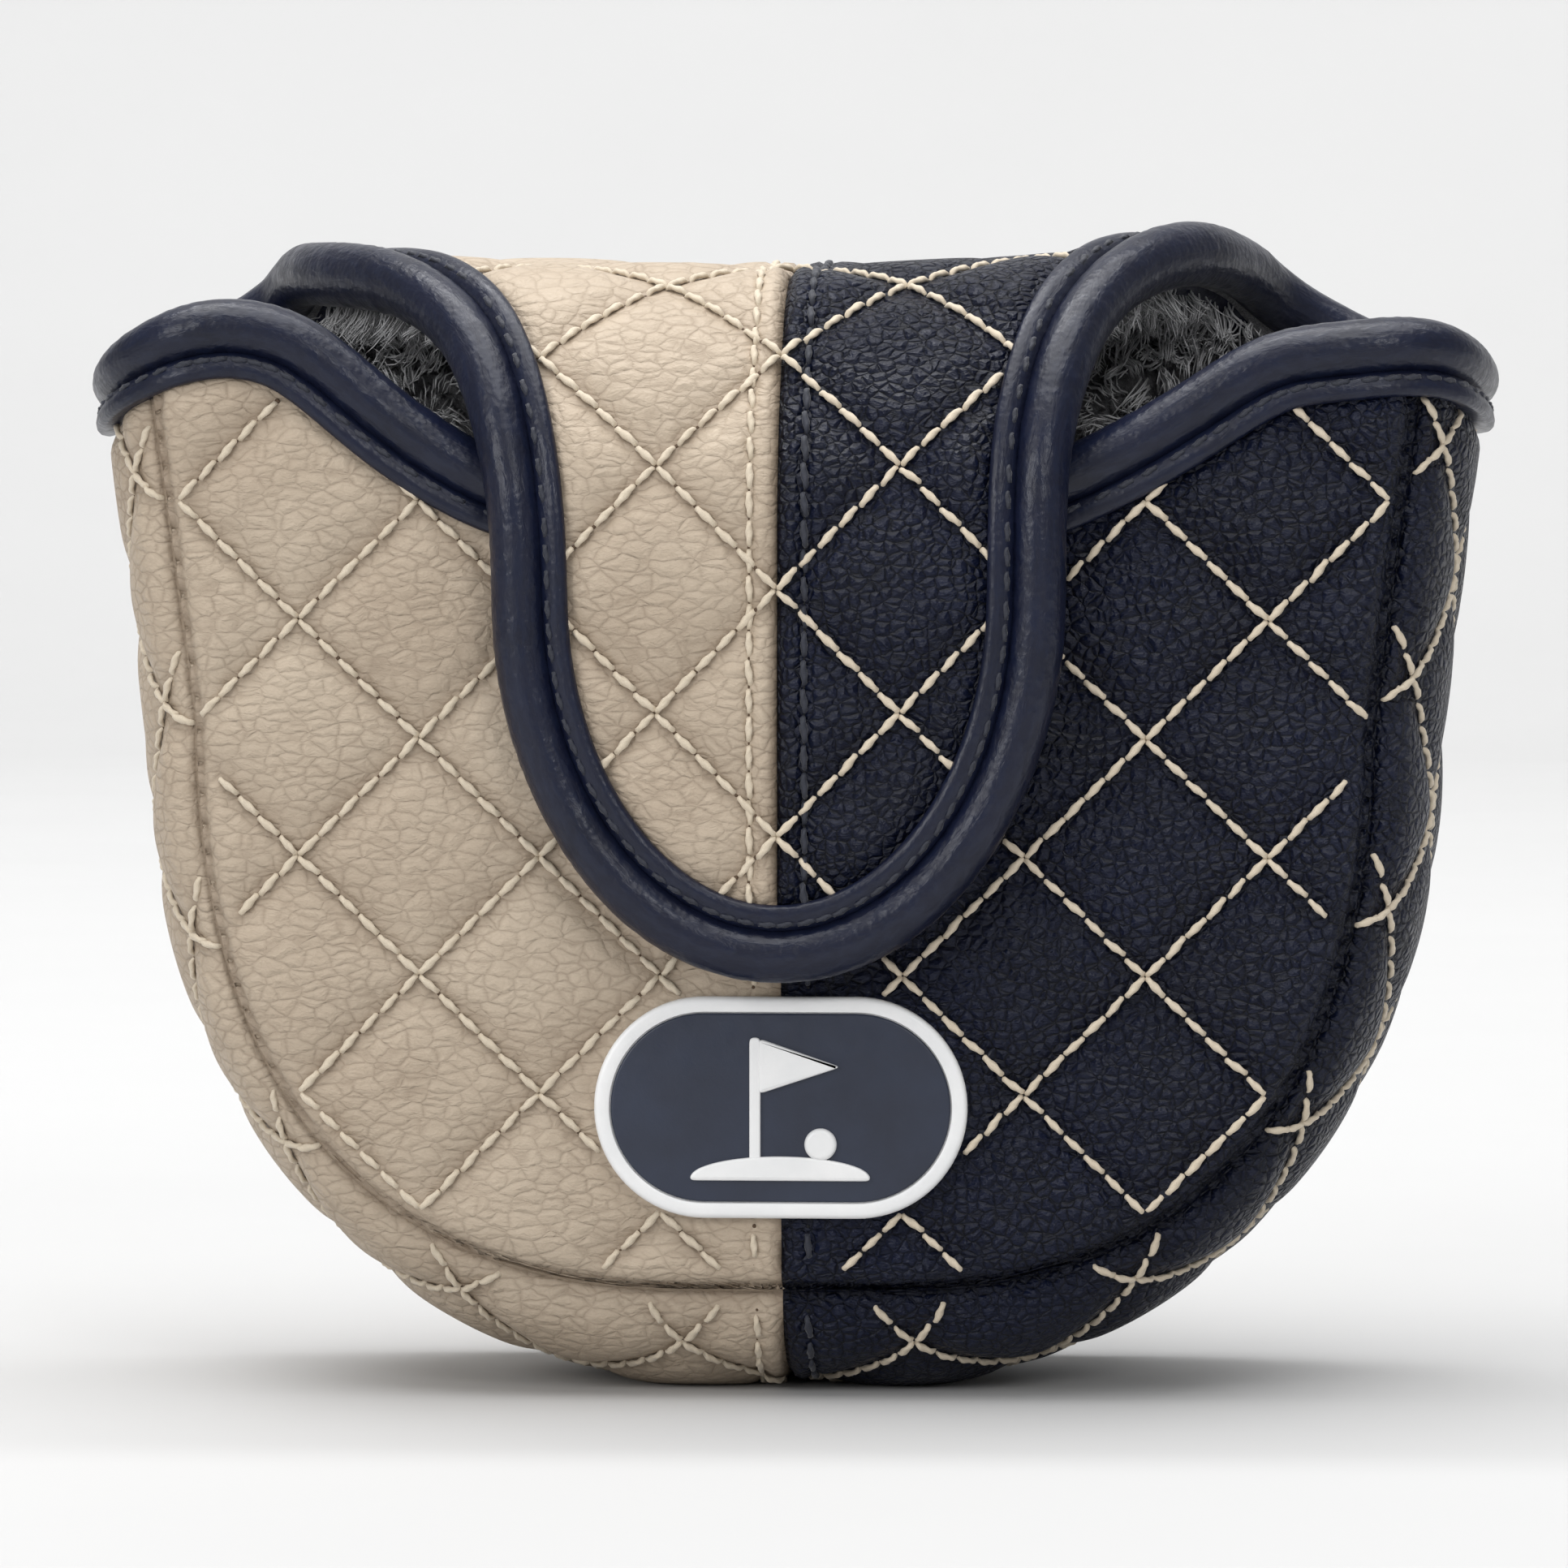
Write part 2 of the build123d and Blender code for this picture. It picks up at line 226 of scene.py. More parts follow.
seam_line = half_outline(**SEAM_LINE)
crest_line = half_outline(**CREST_LINE)
seam_share = lengths_along(seam_line) / lengths_along(seam_line)[-1]
crest_length = lengths_along(crest_line)[-1]
crest_share = lengths_along(crest_line) / crest_length


def on_line(line, share_of, share):
    """Points of a half outline at shares of its length; negative shares are on the left."""
    x = np.interp(np.abs(share), share_of, line[:, 0]) * np.sign(share + 1e-12)
    return x, np.interp(np.abs(share), share_of, line[:, 1])


def seam_distance(x, z):
    """How far a point of a panel is inside its seam."""
    flat = np.column_stack([np.abs(x).ravel(), z.ravel()])
    return distance_to(flat, seam_line[::2]).reshape(x.shape)


def seam_half(z):
    """Half width of a panel at a height."""
    start = int(np.argmax(seam_line[:, 0] >= SEAM_LINE["flat"]))
    return np.interp(z, seam_line[start:, 1], seam_line[start:, 0])


# ---------------------------------------------------------------- flap profile and outline
rear_centre = (BACK_FACE - REAR_RADIUS, ROOT_TOP)
turn = np.linspace(0, math.pi / 2, 40)
rear_arc = np.array(rear_centre) + REAR_RADIUS * np.column_stack([np.cos(turn), np.sin(turn)])
front_arc = np.column_stack([-FRONT_RADIUS * np.sin(turn), TONGUE_TOP + FRONT_RADIUS * np.cos(turn)])
PROFILE_STEP = 0.5
flap_points = np.vstack([[(BACK_FACE, SEAM_FLOOR)], rear_arc, front_arc, [(-FRONT_RADIUS, TONGUE_TIP - 4)]])
flap_profile = soften(resample(flap_points, PROFILE_STEP), 6)
profile_along = lengths_along(flap_profile) - (ROOT_TOP - SEAM_FLOOR)
TONGUE_START = REAR_RADIUS * math.pi / 2 + rear_centre[0] + FRONT_RADIUS * math.pi / 2
TIP = TONGUE_START + TONGUE_TOP - TONGUE_TIP
TONGUE_ROUND = 38.0
OVAL_START = TIP - TONGUE_ROUND

# half widths of the flap, outside its binding, against the distance along it from the root fold
flap_widths = {
    -1: through(
        [(0, ROOT_HALF), (7, 57.0), (12, 56.0), (16, 54.8), (25, 52.0), (31, 49.0), (37, 45.2), (45, 39.6),
         (50, 36.3), (55, 33.6), (62, 31.1), (69, 29.5), (76, 28.6), (OVAL_START, TONGUE_HALF)], 0.5
    ),
    1: through(
        [(0, ROOT_HALF), (7, 52.4), (12, 50.0), (16, 48.3), (22, 46.0), (28, 43.6), (34, 40.6), (43, 35.6),
         (50, 32.7), (56, 30.9), (63, 29.4), (70, 28.6), (OVAL_START, TONGUE_HALF)], 0.5
    ),
}
CREST_LIFT = {1: (4.4, 29.0, 13.0), -1: (2.0, 27.0, 13.0)}
CREST_DROP = 1.8


def by_side(x, along):
    """Straight half width of the flap on the side that x is on."""
    left, right = (np.interp(along, flap_widths[k][:, 0], flap_widths[k][:, 1]) for k in (-1, 1))
    return np.where(np.asarray(x) < 0, left, right)


def flap_half(x, along, inset=0.0):
    """Half width of the flap at a distance along it, with its oval tip, on the side that x is on."""
    share = np.clip((along - OVAL_START) / (TONGUE_ROUND - inset), 0, 1)
    return (by_side(x, along) - inset) * np.sqrt(1 - share ** 2)


def sheet_base(x, along):
    """The back panel and flap as one sheet: x across it, and the distance along it from the root fold."""
    y = np.interp(along, profile_along, flap_profile[:, 0])
    z = np.interp(along, profile_along, flap_profile[:, 1])
    slope_y = np.interp(along + 1, profile_along, flap_profile[:, 0]) - y
    slope_z = np.interp(along + 1, profile_along, flap_profile[:, 1]) - z
    norm = np.hypot(slope_y, slope_z)
    out_y, out_z = slope_z / norm, -slope_y / norm
    across = np.clip(np.abs(x) / by_side(x, along), 0, 1.1)
    high, peak, spread = (np.where(x > 0, one, two) for one, two in zip(CREST_LIFT[1], CREST_LIFT[-1]))
    raised = high * across ** 2 * np.exp(-((along - peak) / spread) ** 2)
    raised = raised - CREST_DROP * np.exp(-((along - 28) / 14) ** 2)
    crown = 0.9 * (1 - across ** 2) * smoothstep(60, 80, along)
    back = (1 - np.clip(np.abs(x) / 60, 0, 1) ** 2) * smoothstep(-88, -60, along) * smoothstep(0, -30, along)
    rounded = np.where(along < -2, turned_back(seam_distance(x, z), SEAM_ROUND), 0)
    move = raised + crown + back - rounded
    return np.stack([x + 0 * y, y + out_y * move, z + out_z * move], -1)


# ---------------------------------------------------------------- front panel and gusset
def front_base(x, z):
    """The front panel: nearly flat, softly crowned, turned back at its seam."""
    rounded = turned_back(seam_distance(x, z), SEAM_ROUND)
    crown = 0.6 * (1 - np.clip(np.abs(x) / 60, 0, 1) ** 2) * smoothstep(SEAM_FLOOR, SEAM_FLOOR + 30, z)
    return np.stack([x, FRONT_FACE + rounded - crown, z], -1)


section_turn = np.linspace(0, math.pi, 181)
SEAM_DEPTHS = (FRONT_FACE + SEAM_ROUND, BACK_FACE - SEAM_ROUND)


def gusset_section(angle):
    """Bulge share and depth of the gusset at an angle from the front seam to the back seam."""
    bulge = np.abs(np.sin(angle)) ** (2 / GUSSET_POWER)
    swing = np.sign(np.cos(angle)) * np.abs(np.cos(angle)) ** (2 / GUSSET_POWER)
    middle = sum(SEAM_DEPTHS) / 2
    return bulge, middle - swing * (SEAM_DEPTHS[1] - SEAM_DEPTHS[0]) / 2


section_bulge, section_depth = gusset_section(section_turn)
section_along = lengths_along(np.column_stack([8.0 * section_bulge, section_depth]))
GUSSET_WIDTH = section_along[-1]


def gusset_base(along, across):
    """The gusset: distance along its crest from the middle of the floor, and across from the front seam."""
    share = along / crest_length
    seam_x, seam_z = on_line(seam_line, seam_share, share)
    crest_x, crest_z = on_line(crest_line, crest_share, share)
    bulge, depth = gusset_section(np.interp(across, section_along, section_turn))
    x = seam_x + (crest_x - seam_x) * bulge
    z = seam_z + (crest_z - seam_z) * bulge
    return np.stack([x, depth, np.maximum(z, CREST_FLOOR)], -1)


# surface functions with the side of their outward normal
SURFACES = {"front": (front_base, 1), "sheet": (sheet_base, -1), "gusset": (gusset_base, -1)}


def frame_at(kind, a, b, gap=0.25):
    """Position and outward normal of a surface."""
    base, side = SURFACES[kind]
    across = base(a + gap, b) - base(a - gap, b)
    along = base(a, b + gap) - base(a, b - gap)
    return base(a, b), unit(np.cross(across, along)) * side


# ---------------------------------------------------------------- heights: quilting, seams, badge
LATTICES = {
    "front": (QUILT_ACROSS, QUILT_FRONT, QUILT_ACROSS / 2, FRONT_CROSSING),
    "sheet": (QUILT_ACROSS, QUILT_FLAP, 0.0, FLAP_CROSSING),
    "gusset": (QUILT_GUSSET, QUILT_GUSSET, GUSSET_CROSSING[0] + QUILT_GUSSET / 2, GUSSET_CROSSING[1]),
}


def thread_distance(kind, a, b):
    """Distances to the nearest thread of each diagonal family."""
    pitch_a, pitch_b, at_a, at_b = LATTICES[kind]
    u, v = (a - at_a) / pitch_a, (b - at_b) / pitch_b
    spacing = 1 / math.hypot(1 / pitch_a, 1 / pitch_b)
    return [np.abs(w - np.round(w)) * spacing for w in (u + v, u - v)]


BADGE_LOW, BADGE_HIGH = box_mm("badge_base")
BADGE_MIDDLE = (BADGE_LOW[2] + BADGE_HIGH[2]) / 2
BADGE_RADIUS = (BADGE_HIGH[2] - BADGE_LOW[2]) / 2
BADGE_CORE = BADGE_HIGH[0] - BADGE_RADIUS


def badge_distance(x, z):
    """Distance outside the badge's outline."""
    return np.hypot(np.maximum(np.abs(x) - BADGE_CORE, 0), z - BADGE_MIDDLE) - BADGE_RADIUS


def height(kind, a, b):
    """How far the leather stands out from its base: puffed squares, sunk threads, the middle seam."""
    first, second = thread_distance(kind, a, b)
    def puff(d):
        return 1 - np.exp(-(d / QUILT_SHOULDER) ** 1.6)
    puffed = puff(first) * puff(second)
    middle = np.abs(a)
    quilt = puffed * QUILT_PUFF * (0.35 + 0.65 * smoothstep(0.5, 4.5, middle))
    fold = turned_back(middle, SEAM_FOLD)
    top = 0.3 * np.exp(-((middle - TOPSTITCH) / 0.45) ** 2)
    allowance = SEAM_SWELL * np.exp(-((middle - TOPSTITCH / 2) / (TOPSTITCH * 0.32)) ** 2)
    ripple = 0.05 * np.sin(a * 2.3 + 1.7 * np.sin(b * 0.9)) * np.sin(b * 2.1 + a)
    puckers = ripple * np.exp(-np.minimum(first, second) / 2)
    h = quilt + allowance - fold - top + puckers - QUILT_SINK
    if kind == "front":
        h = np.where(badge_distance(a, b) < 6, h * smoothstep(-1, 5, badge_distance(a, b)), h)
    return h


# ---------------------------------------------------------------- meshes
def new_object(name, points, faces, material):
    """A mesh object from points in millimetres; nothing reaches below the floor."""
    mesh = bpy.data.meshes.new(name)
    points = np.array(points, float)
    points[:, 2] = np.maximum(points[:, 2], 0.0)
    mesh.from_pydata((points * MM).tolist(), [], [tuple(f) for f in faces])
    mesh.polygons.foreach_set("use_smooth", [True] * len(mesh.polygons))
    mesh.update()
    mesh.materials.append(material)
    obj = bpy.data.objects.new(name, mesh)
    bpy.context.scene.collection.objects.link(obj)
    return obj


def grid_faces(rows, columns, start=0, flip=False):
    at = np.arange(rows * columns).reshape(rows, columns) + start
    quads = np.stack([at[:-1, :-1], at[:-1, 1:], at[1:, 1:], at[1:, :-1]], -1).reshape(-1, 4)
    return quads[:, ::-1] if flip else quads


def shell(name, outer, inner, material):
    """A closed thin solid between two grids of points. The outer grid's rows and columns turn outwards."""
    rows, columns = outer.shape[:2]
    count = rows * columns
    at = np.arange(count).reshape(rows, columns)
    rim = np.concatenate([at[0, :-1], at[:-1, -1], at[-1, :0:-1], at[:0:-1, 0]])
    after = np.roll(rim, -1)
    sides = np.column_stack([rim, rim + count, after + count, after])
    faces = np.vstack([grid_faces(rows, columns), grid_faces(rows, columns, count, True), sides])
    obj = new_object(name, np.vstack([outer.reshape(-1, 3), inner.reshape(-1, 3)]), faces.tolist(), material)
    return turn_out(obj)


def turn_out(obj):
    """Faces turned so that a closed mesh has a positive volume."""
    mesh = obj.data
    mesh.calc_loop_triangles()
    points = np.array([v.co for v in mesh.vertices])
    tri = np.array([t.vertices for t in mesh.loop_triangles])
    a, b, c = points[tri[:, 0]], points[tri[:, 1]], points[tri[:, 2]]
    if (a * np.cross(b, c)).sum() < 0:
        mesh.flip_normals()
    return obj


def layer(name, kind, a, b, outside, inside, material):
    """One layer of a wall between two depths inside its base surface; outside may be an array of heights."""
    base, normal = frame_at(kind, a, b)
    lift = np.broadcast_to(outside, a.shape)[..., None]
    return shell(name, base + normal * lift, base - normal * inside, material)


def dense_ends(count):
    """Shares from 0 to 1, closer together at both ends."""
    u = np.linspace(0, 1, count)
    return u - 0.6 * np.sin(2 * math.pi * u) / (2 * math.pi)


# ---------------------------------------------------------------- the edge of the whole sheet
# on each side: (distance round the wall from the middle of the front, height of the mouth's edge)
MOUTH_EDGE = {
    -1: [(0, 90.5), (12, 90.8), (21, 92.3), (27, 93.8), (31.7, 96.3), (34.8, 98.3), (38.0, 100.7),
         (41.1, 103.4), (44.2, 105.9), (47.4, 108.0), (50.5, 109.0), (53.6, 109.6), (56.7, 109.5),
         (60.5, 108.9), (64.5, 107.6), (69, 105.9), (75, 104.3), (83.5, 103.4), (93.5, 103.9),
         (102, 105.3), (108, 107.0), (111.5, 107.9), (114.5, 107.6)],
    1: [(0, 90.5), (12, 90.8), (21, 92.3), (27, 94.5), (32.0, 96.9), (38.2, 100.5), (44.5, 104.6),
        (48.9, 106.5), (53.9, 107.1), (58.2, 107.6), (63.0, 107.8), (67.0, 107.5), (73, 106.2),
        (83.5, 104.4), (93.5, 103.8),
        (102, 103.6), (107, 104.0), (111.5, 105.3), (114.5, 106.5), (117, 107.2)],
}


def wall_place(side, around, z):
    """Places and outward normals on the wall of the pouch, at distances round it and heights."""
    places, outs = [], []
    for w, h in zip(around, z):
        near, far = seam_half(h), np.interp(h, crest_line[60:, 1], crest_line[60:, 0])
        front = np.linspace(0, near - SEAM_ROUND, 40)[:, None] * (1, 0) + (0, FRONT_FACE)
        back = np.linspace(near - SEAM_ROUND, 0, 40)[:, None] * (1, 0) + (0, BACK_FACE)
        bulge, depth = gusset_section(section_turn[::6])
        ring = resample(np.vstack([front, np.column_stack([near + (far - near) * bulge, depth]), back]), 0.5)
        ring = soften(ring, 3)
        along = lengths_along(ring)
        here, ahead = (np.array([np.interp(v, along, ring[:, k]) for k in (0, 1)]) for v in (w, w + 0.5))
        step = unit(ahead - here)
        places.append((side * here[0], here[1], h))
        outs.append((side * step[1], -step[0], 0.0))
    return np.array(places), np.array(outs)


CORNER_ALONG = 7.0
REAR_SPLIT = 18.5
FRONT_SPLIT = 50.0
PATH_STEP = 0.6


def half_edge(side):
    """One half of the edge: places, outward normals, and distance along the flap (negative on the mouth)."""
    mouth = through(MOUTH_EDGE[side], PATH_STEP)
    places, turns = wall_place(side, mouth[:, 0], mouth[:, 1])
    oval = np.linspace(0, math.pi / 2, 90)
    straight = np.arange(CORNER_ALONG, OVAL_START, PATH_STEP)
    along = np.concatenate([straight, OVAL_START + TONGUE_ROUND * np.sin(oval)])
    across = np.concatenate([flap_half(side, straight), TONGUE_HALF * np.cos(oval)])
    even = resample(np.column_stack([across, along]), PATH_STEP)
    flap, out = frame_at("sheet", side * even[:, 0], even[:, 1])
    points = np.vstack([places, flap])
    normals = np.vstack([turns, out])
    marks = np.concatenate([np.full(len(places), -1.0), even[:, 1]])
    keep = np.ones(len(points), bool)
    keep[len(places) - 2:len(places) + 2] = False
    return points[keep], normals[keep], marks[keep]


def whole_edge():
    """The closed edge, from the front's middle round the right to the tongue's tip and back on the left."""
    right, left = half_edge(1), half_edge(-1)
    loop, out, mark = (np.concatenate([r, l[::-1][1:-1]]) for r, l in zip(right, left))
    return soften_loop(loop, 4), unit(soften_loop(out, 4)), mark


edge_points, edge_normals, edge_marks = whole_edge()
edge_forward = unit(np.roll(edge_points, -1, 0) - np.roll(edge_points, 1, 0))
edge_away = unit(np.cross(edge_normals, edge_forward))
edge_normals = unit(np.cross(edge_forward, edge_away))

# section of the binding: (out of the leather, away from the sheet), both flanges and the roll between them
ROLL_CENTRE = (-1.9, -2.85)
ROLL_SIZE = (3.25, 2.85)
roll_turn = np.radians(np.linspace(-58, 238, 27))
OUTER_FLANGE = [
    (-1.4, -7.5), (0.1, -7.85), (0.62, -7.75), (0.92, -7.45), (1.02, -6.95), (0.92, -6.4), (0.66, -6.0), (0.5, -5.65)
]
BINDING_SECTION = np.vstack([
    OUTER_FLANGE,
    np.array(ROLL_CENTRE) + np.array(ROLL_SIZE) * np.column_stack([np.cos(roll_turn), np.sin(roll_turn)]),
    [(-4.6, -5.7), (-5.1, -6.4), (-5.0, -7.5), (-4.3, -8.0), (-3.2, -7.9)],
])


def swept(places, out, away, section):
    """Rings of a section along an edge, each placed by its own normal and its way off the sheet."""
    return places[:, None] + section[..., :1] * out[:, None] + section[..., 1:] * away[:, None]


def tube(name, rings, material):
    """A closed solid from closed rings of points, with a flat face at both ends."""
    rings = np.array(rings)
    count, size = rings.shape[:2]
    at = np.arange(count * size).reshape(count, size)
    ahead = np.roll(at, -1, 1)
    faces = np.stack([at[:-1], ahead[:-1], ahead[1:], at[1:]], -1).reshape(-1, 4).tolist()
    faces += [at[0][::-1].tolist(), at[-1].tolist()]
    return turn_out(new_object(name, rings.reshape(-1, 3), faces, material))


# ---------------------------------------------------------------- threads
def stitches(centres, forward, out, length, radius, wobble=0.05):
    """Points and faces of many short two-ply stitches, each diving into the leather at its ends."""
    count = len(centres)
    rings, sides = 11, 8
    s = np.linspace(-1, 1, rings)
    spin = np.linspace(0, 2 * math.pi, sides, endpoint=False)
    side = np.cross(out, forward)
    tilt = draw.normal(0.07, wobble, (count, 1))
    forward = unit(forward + side * tilt)
    side = np.cross(out, forward)
    swell = np.sqrt(np.maximum(1 - np.abs(s) ** 5, 0.03))
    arch = 0.6 * radius - 1.7 * radius * np.abs(s) ** 4
    ply = 1 + 0.20 * np.cos(2 * (spin[None, :] - 3.0 * s[:, None]))
    across = radius * swell[:, None] * ply * np.cos(spin)[None]
    up = 0.85 * radius * swell[:, None] * ply * np.sin(spin)[None] + arch[:, None]
    ahead = np.repeat((s * length / 2)[:, None], sides, 1)
    size = draw.uniform(0.92, 1.08, (count, 1, 1, 1))
    points = (
        centres[:, None, None]
        + size * ahead[None, ..., None] * forward[:, None, None]
        + size * across[None, ..., None] * side[:, None, None]
        + up[None, ..., None] * out[:, None, None]
    ).reshape(-1, 3)
    at = np.arange(rings * sides).reshape(rings, sides)
    ahead_at = np.roll(at, -1, 1)
    one = np.stack([at[:-1], ahead_at[:-1], ahead_at[1:], at[1:]], -1).reshape(-1, 4)
    starts = np.arange(count) * rings * sides
    faces = (one[None] + starts[:, None, None]).reshape(-1, 4).tolist()
    ends = (at[0][::-1][None] + starts[:, None]).tolist() + (at[-1][None] + starts[:, None]).tolist()
    return points, faces + ends


def stitch_piece(name, groups, material):
    """One object of many stitches; a group is (centres, forward, out, length, radius)."""
    points, faces, start = [], [], 0
    for group in groups:
        p, f = stitches(*group)
        points.append(p)
        faces += [[i + start for i in face] for face in f]
        start += len(p)
    return new_object(name, np.vstack(points), faces, material)


def quilt_places(kind, inside):
    """Middles and holes of the quilting stitches that an inside test keeps, as surface coordinates."""
    pitch_a, pitch_b, at_a, at_b = LATTICES[kind]
    lines, steps = np.meshgrid(np.arange(-16, 17), np.arange(-170, 171), indexing="ij")
    middles, ways, holes = [], [], []
    for sign in (1, -1):
        for store, shift in ((middles, 0.5), (holes, 0.0)):
            v = (steps + shift) / (2 * STITCHES_PER_SIDE)
            a = at_a + pitch_a * (lines - sign * v)
            b = at_b + pitch_b * v
            keep = inside(a, b)
            store.append(np.column_stack([a[keep], b[keep]]))
        way = np.array([-sign * pitch_a, pitch_b]) / math.hypot(pitch_a, pitch_b)
        ways.append(np.repeat(way[None], len(middles[-1]), 0))
    return np.vstack(middles), np.vstack(ways), np.vstack(holes)


STITCH_PITCH = math.hypot(QUILT_ACROSS, QUILT_FRONT) / 2 / STITCHES_PER_SIDE


def line_places(start, end, pitch):
    """Middles and holes of a straight row of stitches between two surface points."""
    start, end = np.array(start, float), np.array(end, float)
    count = max(1, int(np.linalg.norm(end - start) / pitch))
    share = (np.arange(count) + 0.5) / count
    way = unit((end - start)[None])
    return start + (end - start) * share[:, None], np.repeat(way, count, 0), start + (end - start) * (
        np.arange(count + 1) / count)[:, None]


def on_surface(kind, places, ways, lift):
    """Places, forward directions and normals in space of stitches given on a surface."""
    a, b = places.T
    base, normal = frame_at(kind, a, b)
    high = (height(kind, a, b) + lift)[:, None]
    step = 0.4
    ahead, _ = frame_at(kind, a + ways[:, 0] * step, b + ways[:, 1] * step)
    behind, _ = frame_at(kind, a - ways[:, 0] * step, b - ways[:, 1] * step)
    forward = unit(ahead - behind)
    out = unit(normal - forward * (normal * forward).sum(-1, keepdims=True))
    return base + normal * high, forward, out


def hole_piece(name, places, out, material):
    """Needle holes: small dark lenses of painted shade, flush with the leather."""
    sides = 8
    spin = np.linspace(0, 2 * math.pi, sides, endpoint=False)
    radius = draw.uniform(0.20, 0.30, (len(places), 1, 1))
    ring = places[:, None] + radius * ring_directions(out, spin)
    points = np.concatenate([ring, (places + out * 0.10)[:, None], (places - out * 0.25)[:, None]], 1)
    size = sides + 2
    k = np.arange(sides)
    caps = np.vstack([
        np.column_stack([k, (k + 1) % sides, np.full(sides, sides)]),
        np.column_stack([(k + 1) % sides, k, np.full(sides, sides + 1)]),
    ])
    faces = (caps[None] + (np.arange(len(places)) * size)[:, None, None]).reshape(-1, 3)
    return new_object(name, points.reshape(-1, 3), faces.tolist(), material)


# ---------------------------------------------------------------- materials
class Finish:
    """A procedural material on one Principled shader; its coordinates are millimetres in the frame."""

    def __init__(self, name, roughness, **sockets):
        self.material = bpy.data.materials.new(name)
        self.material.use_nodes = True
        self.tree = self.material.node_tree
        self.shader = self.tree.nodes["Principled BSDF"]
        self.shader.inputs["Roughness"].default_value = roughness
        for socket, value in sockets.items():
            self.shader.inputs[socket.replace("_", " ")].default_value = value
        place = self.tree.nodes.new("ShaderNodeTexCoord")
        self.place = self.stretched((1 / MM,) * 3, place.outputs["Object"])
        self.normal = None

    def stretched(self, scale, source=None):
        node = self.tree.nodes.new("ShaderNodeMapping")
        node.inputs["Scale"].default_value = scale
        self.tree.links.new(source or self.place, node.inputs["Vector"])
        return node.outputs["Vector"]

    def noise(self, size, detail=3.0, rough=0.55, source=None, twist=0.0):
        node = self.tree.nodes.new("ShaderNodeTexNoise")
        node.inputs["Scale"].default_value = 1 / size
        node.inputs["Detail"].default_value = detail
        node.inputs["Roughness"].default_value = rough
        node.inputs["Distortion"].default_value = twist
        self.tree.links.new(source or self.place, node.inputs["Vector"])
        return node.outputs["Fac"]

    def cells(self, size, feature="DISTANCE_TO_EDGE", source=None):
        node = self.tree.nodes.new("ShaderNodeTexVoronoi")
        node.feature = feature
        node.inputs["Scale"].default_value = 1 / size
        self.tree.links.new(source or self.place, node.inputs["Vector"])
        return node.outputs["Distance"]

    def warped(self, size, amount):
        """The coordinates, pushed about by a soft noise."""
        noise = self.tree.nodes.new("ShaderNodeTexNoise")
        noise.inputs["Scale"].default_value = 1 / size
        noise.inputs["Detail"].default_value = 2.0
        self.tree.links.new(self.place, noise.inputs["Vector"])
        push = self.tree.nodes.new("ShaderNodeVectorMath")
        push.operation = "MULTIPLY_ADD"
        push.inputs[1].default_value = (2 * amount,) * 3
        self.tree.links.new(noise.outputs["Color"], push.inputs[0])
        self.tree.links.new(self.place, push.inputs[2])
        return push.outputs["Vector"]

    def attribute(self, name):
        node = self.tree.nodes.new("ShaderNodeAttribute")
        node.attribute_name = name
        return node.outputs["Fac"]

    def rerange(self, value, low, high, to_low, to_high):
        node = self.tree.nodes.new("ShaderNodeMapRange")
        for socket, number in zip(("From Min", "From Max", "To Min", "To Max"), (low, high, to_low, to_high)):
            node.inputs[socket].default_value = number
        self.tree.links.new(value, node.inputs["Value"])
        return node.outputs["Result"]

    def math(self, operation, one, two):
        node = self.tree.nodes.new("ShaderNodeMath")
        node.operation = operation
        for socket, value in zip(node.inputs, (one, two)):
            if isinstance(value, (int, float)):
                socket.default_value = value
            else:
                self.tree.links.new(value, socket)
        return node.outputs["Value"]

    def mix(self, share, one, two, blend="MIX"):
        node = self.tree.nodes.new("ShaderNodeMix")
        node.data_type = "RGBA"
        node.blend_type = blend
        for socket, value in ((node.inputs["Factor"], share), (node.inputs[6], one), (node.inputs[7], two)):
            if isinstance(value, bpy.types.NodeSocket):
                self.tree.links.new(value, socket)
            else:
                socket.default_value = value
        return node.outputs[2]

    def bump(self, height, distance, strength=1.0):
        node = self.tree.nodes.new("ShaderNodeBump")
        node.inputs["Distance"].default_value = distance * MM
        node.inputs["Strength"].default_value = strength
        self.tree.links.new(height, node.inputs["Height"])
        if self.normal is not None:
            self.tree.links.new(self.normal, node.inputs["Normal"])
        self.normal = node.outputs["Normal"]
        self.tree.links.new(self.normal, self.shader.inputs["Normal"])

    def colour(self, value):
        self.tree.links.new(value, self.shader.inputs["Base Color"])

    def roughness(self, value):
        self.tree.links.new(value, self.shader.inputs["Roughness"])


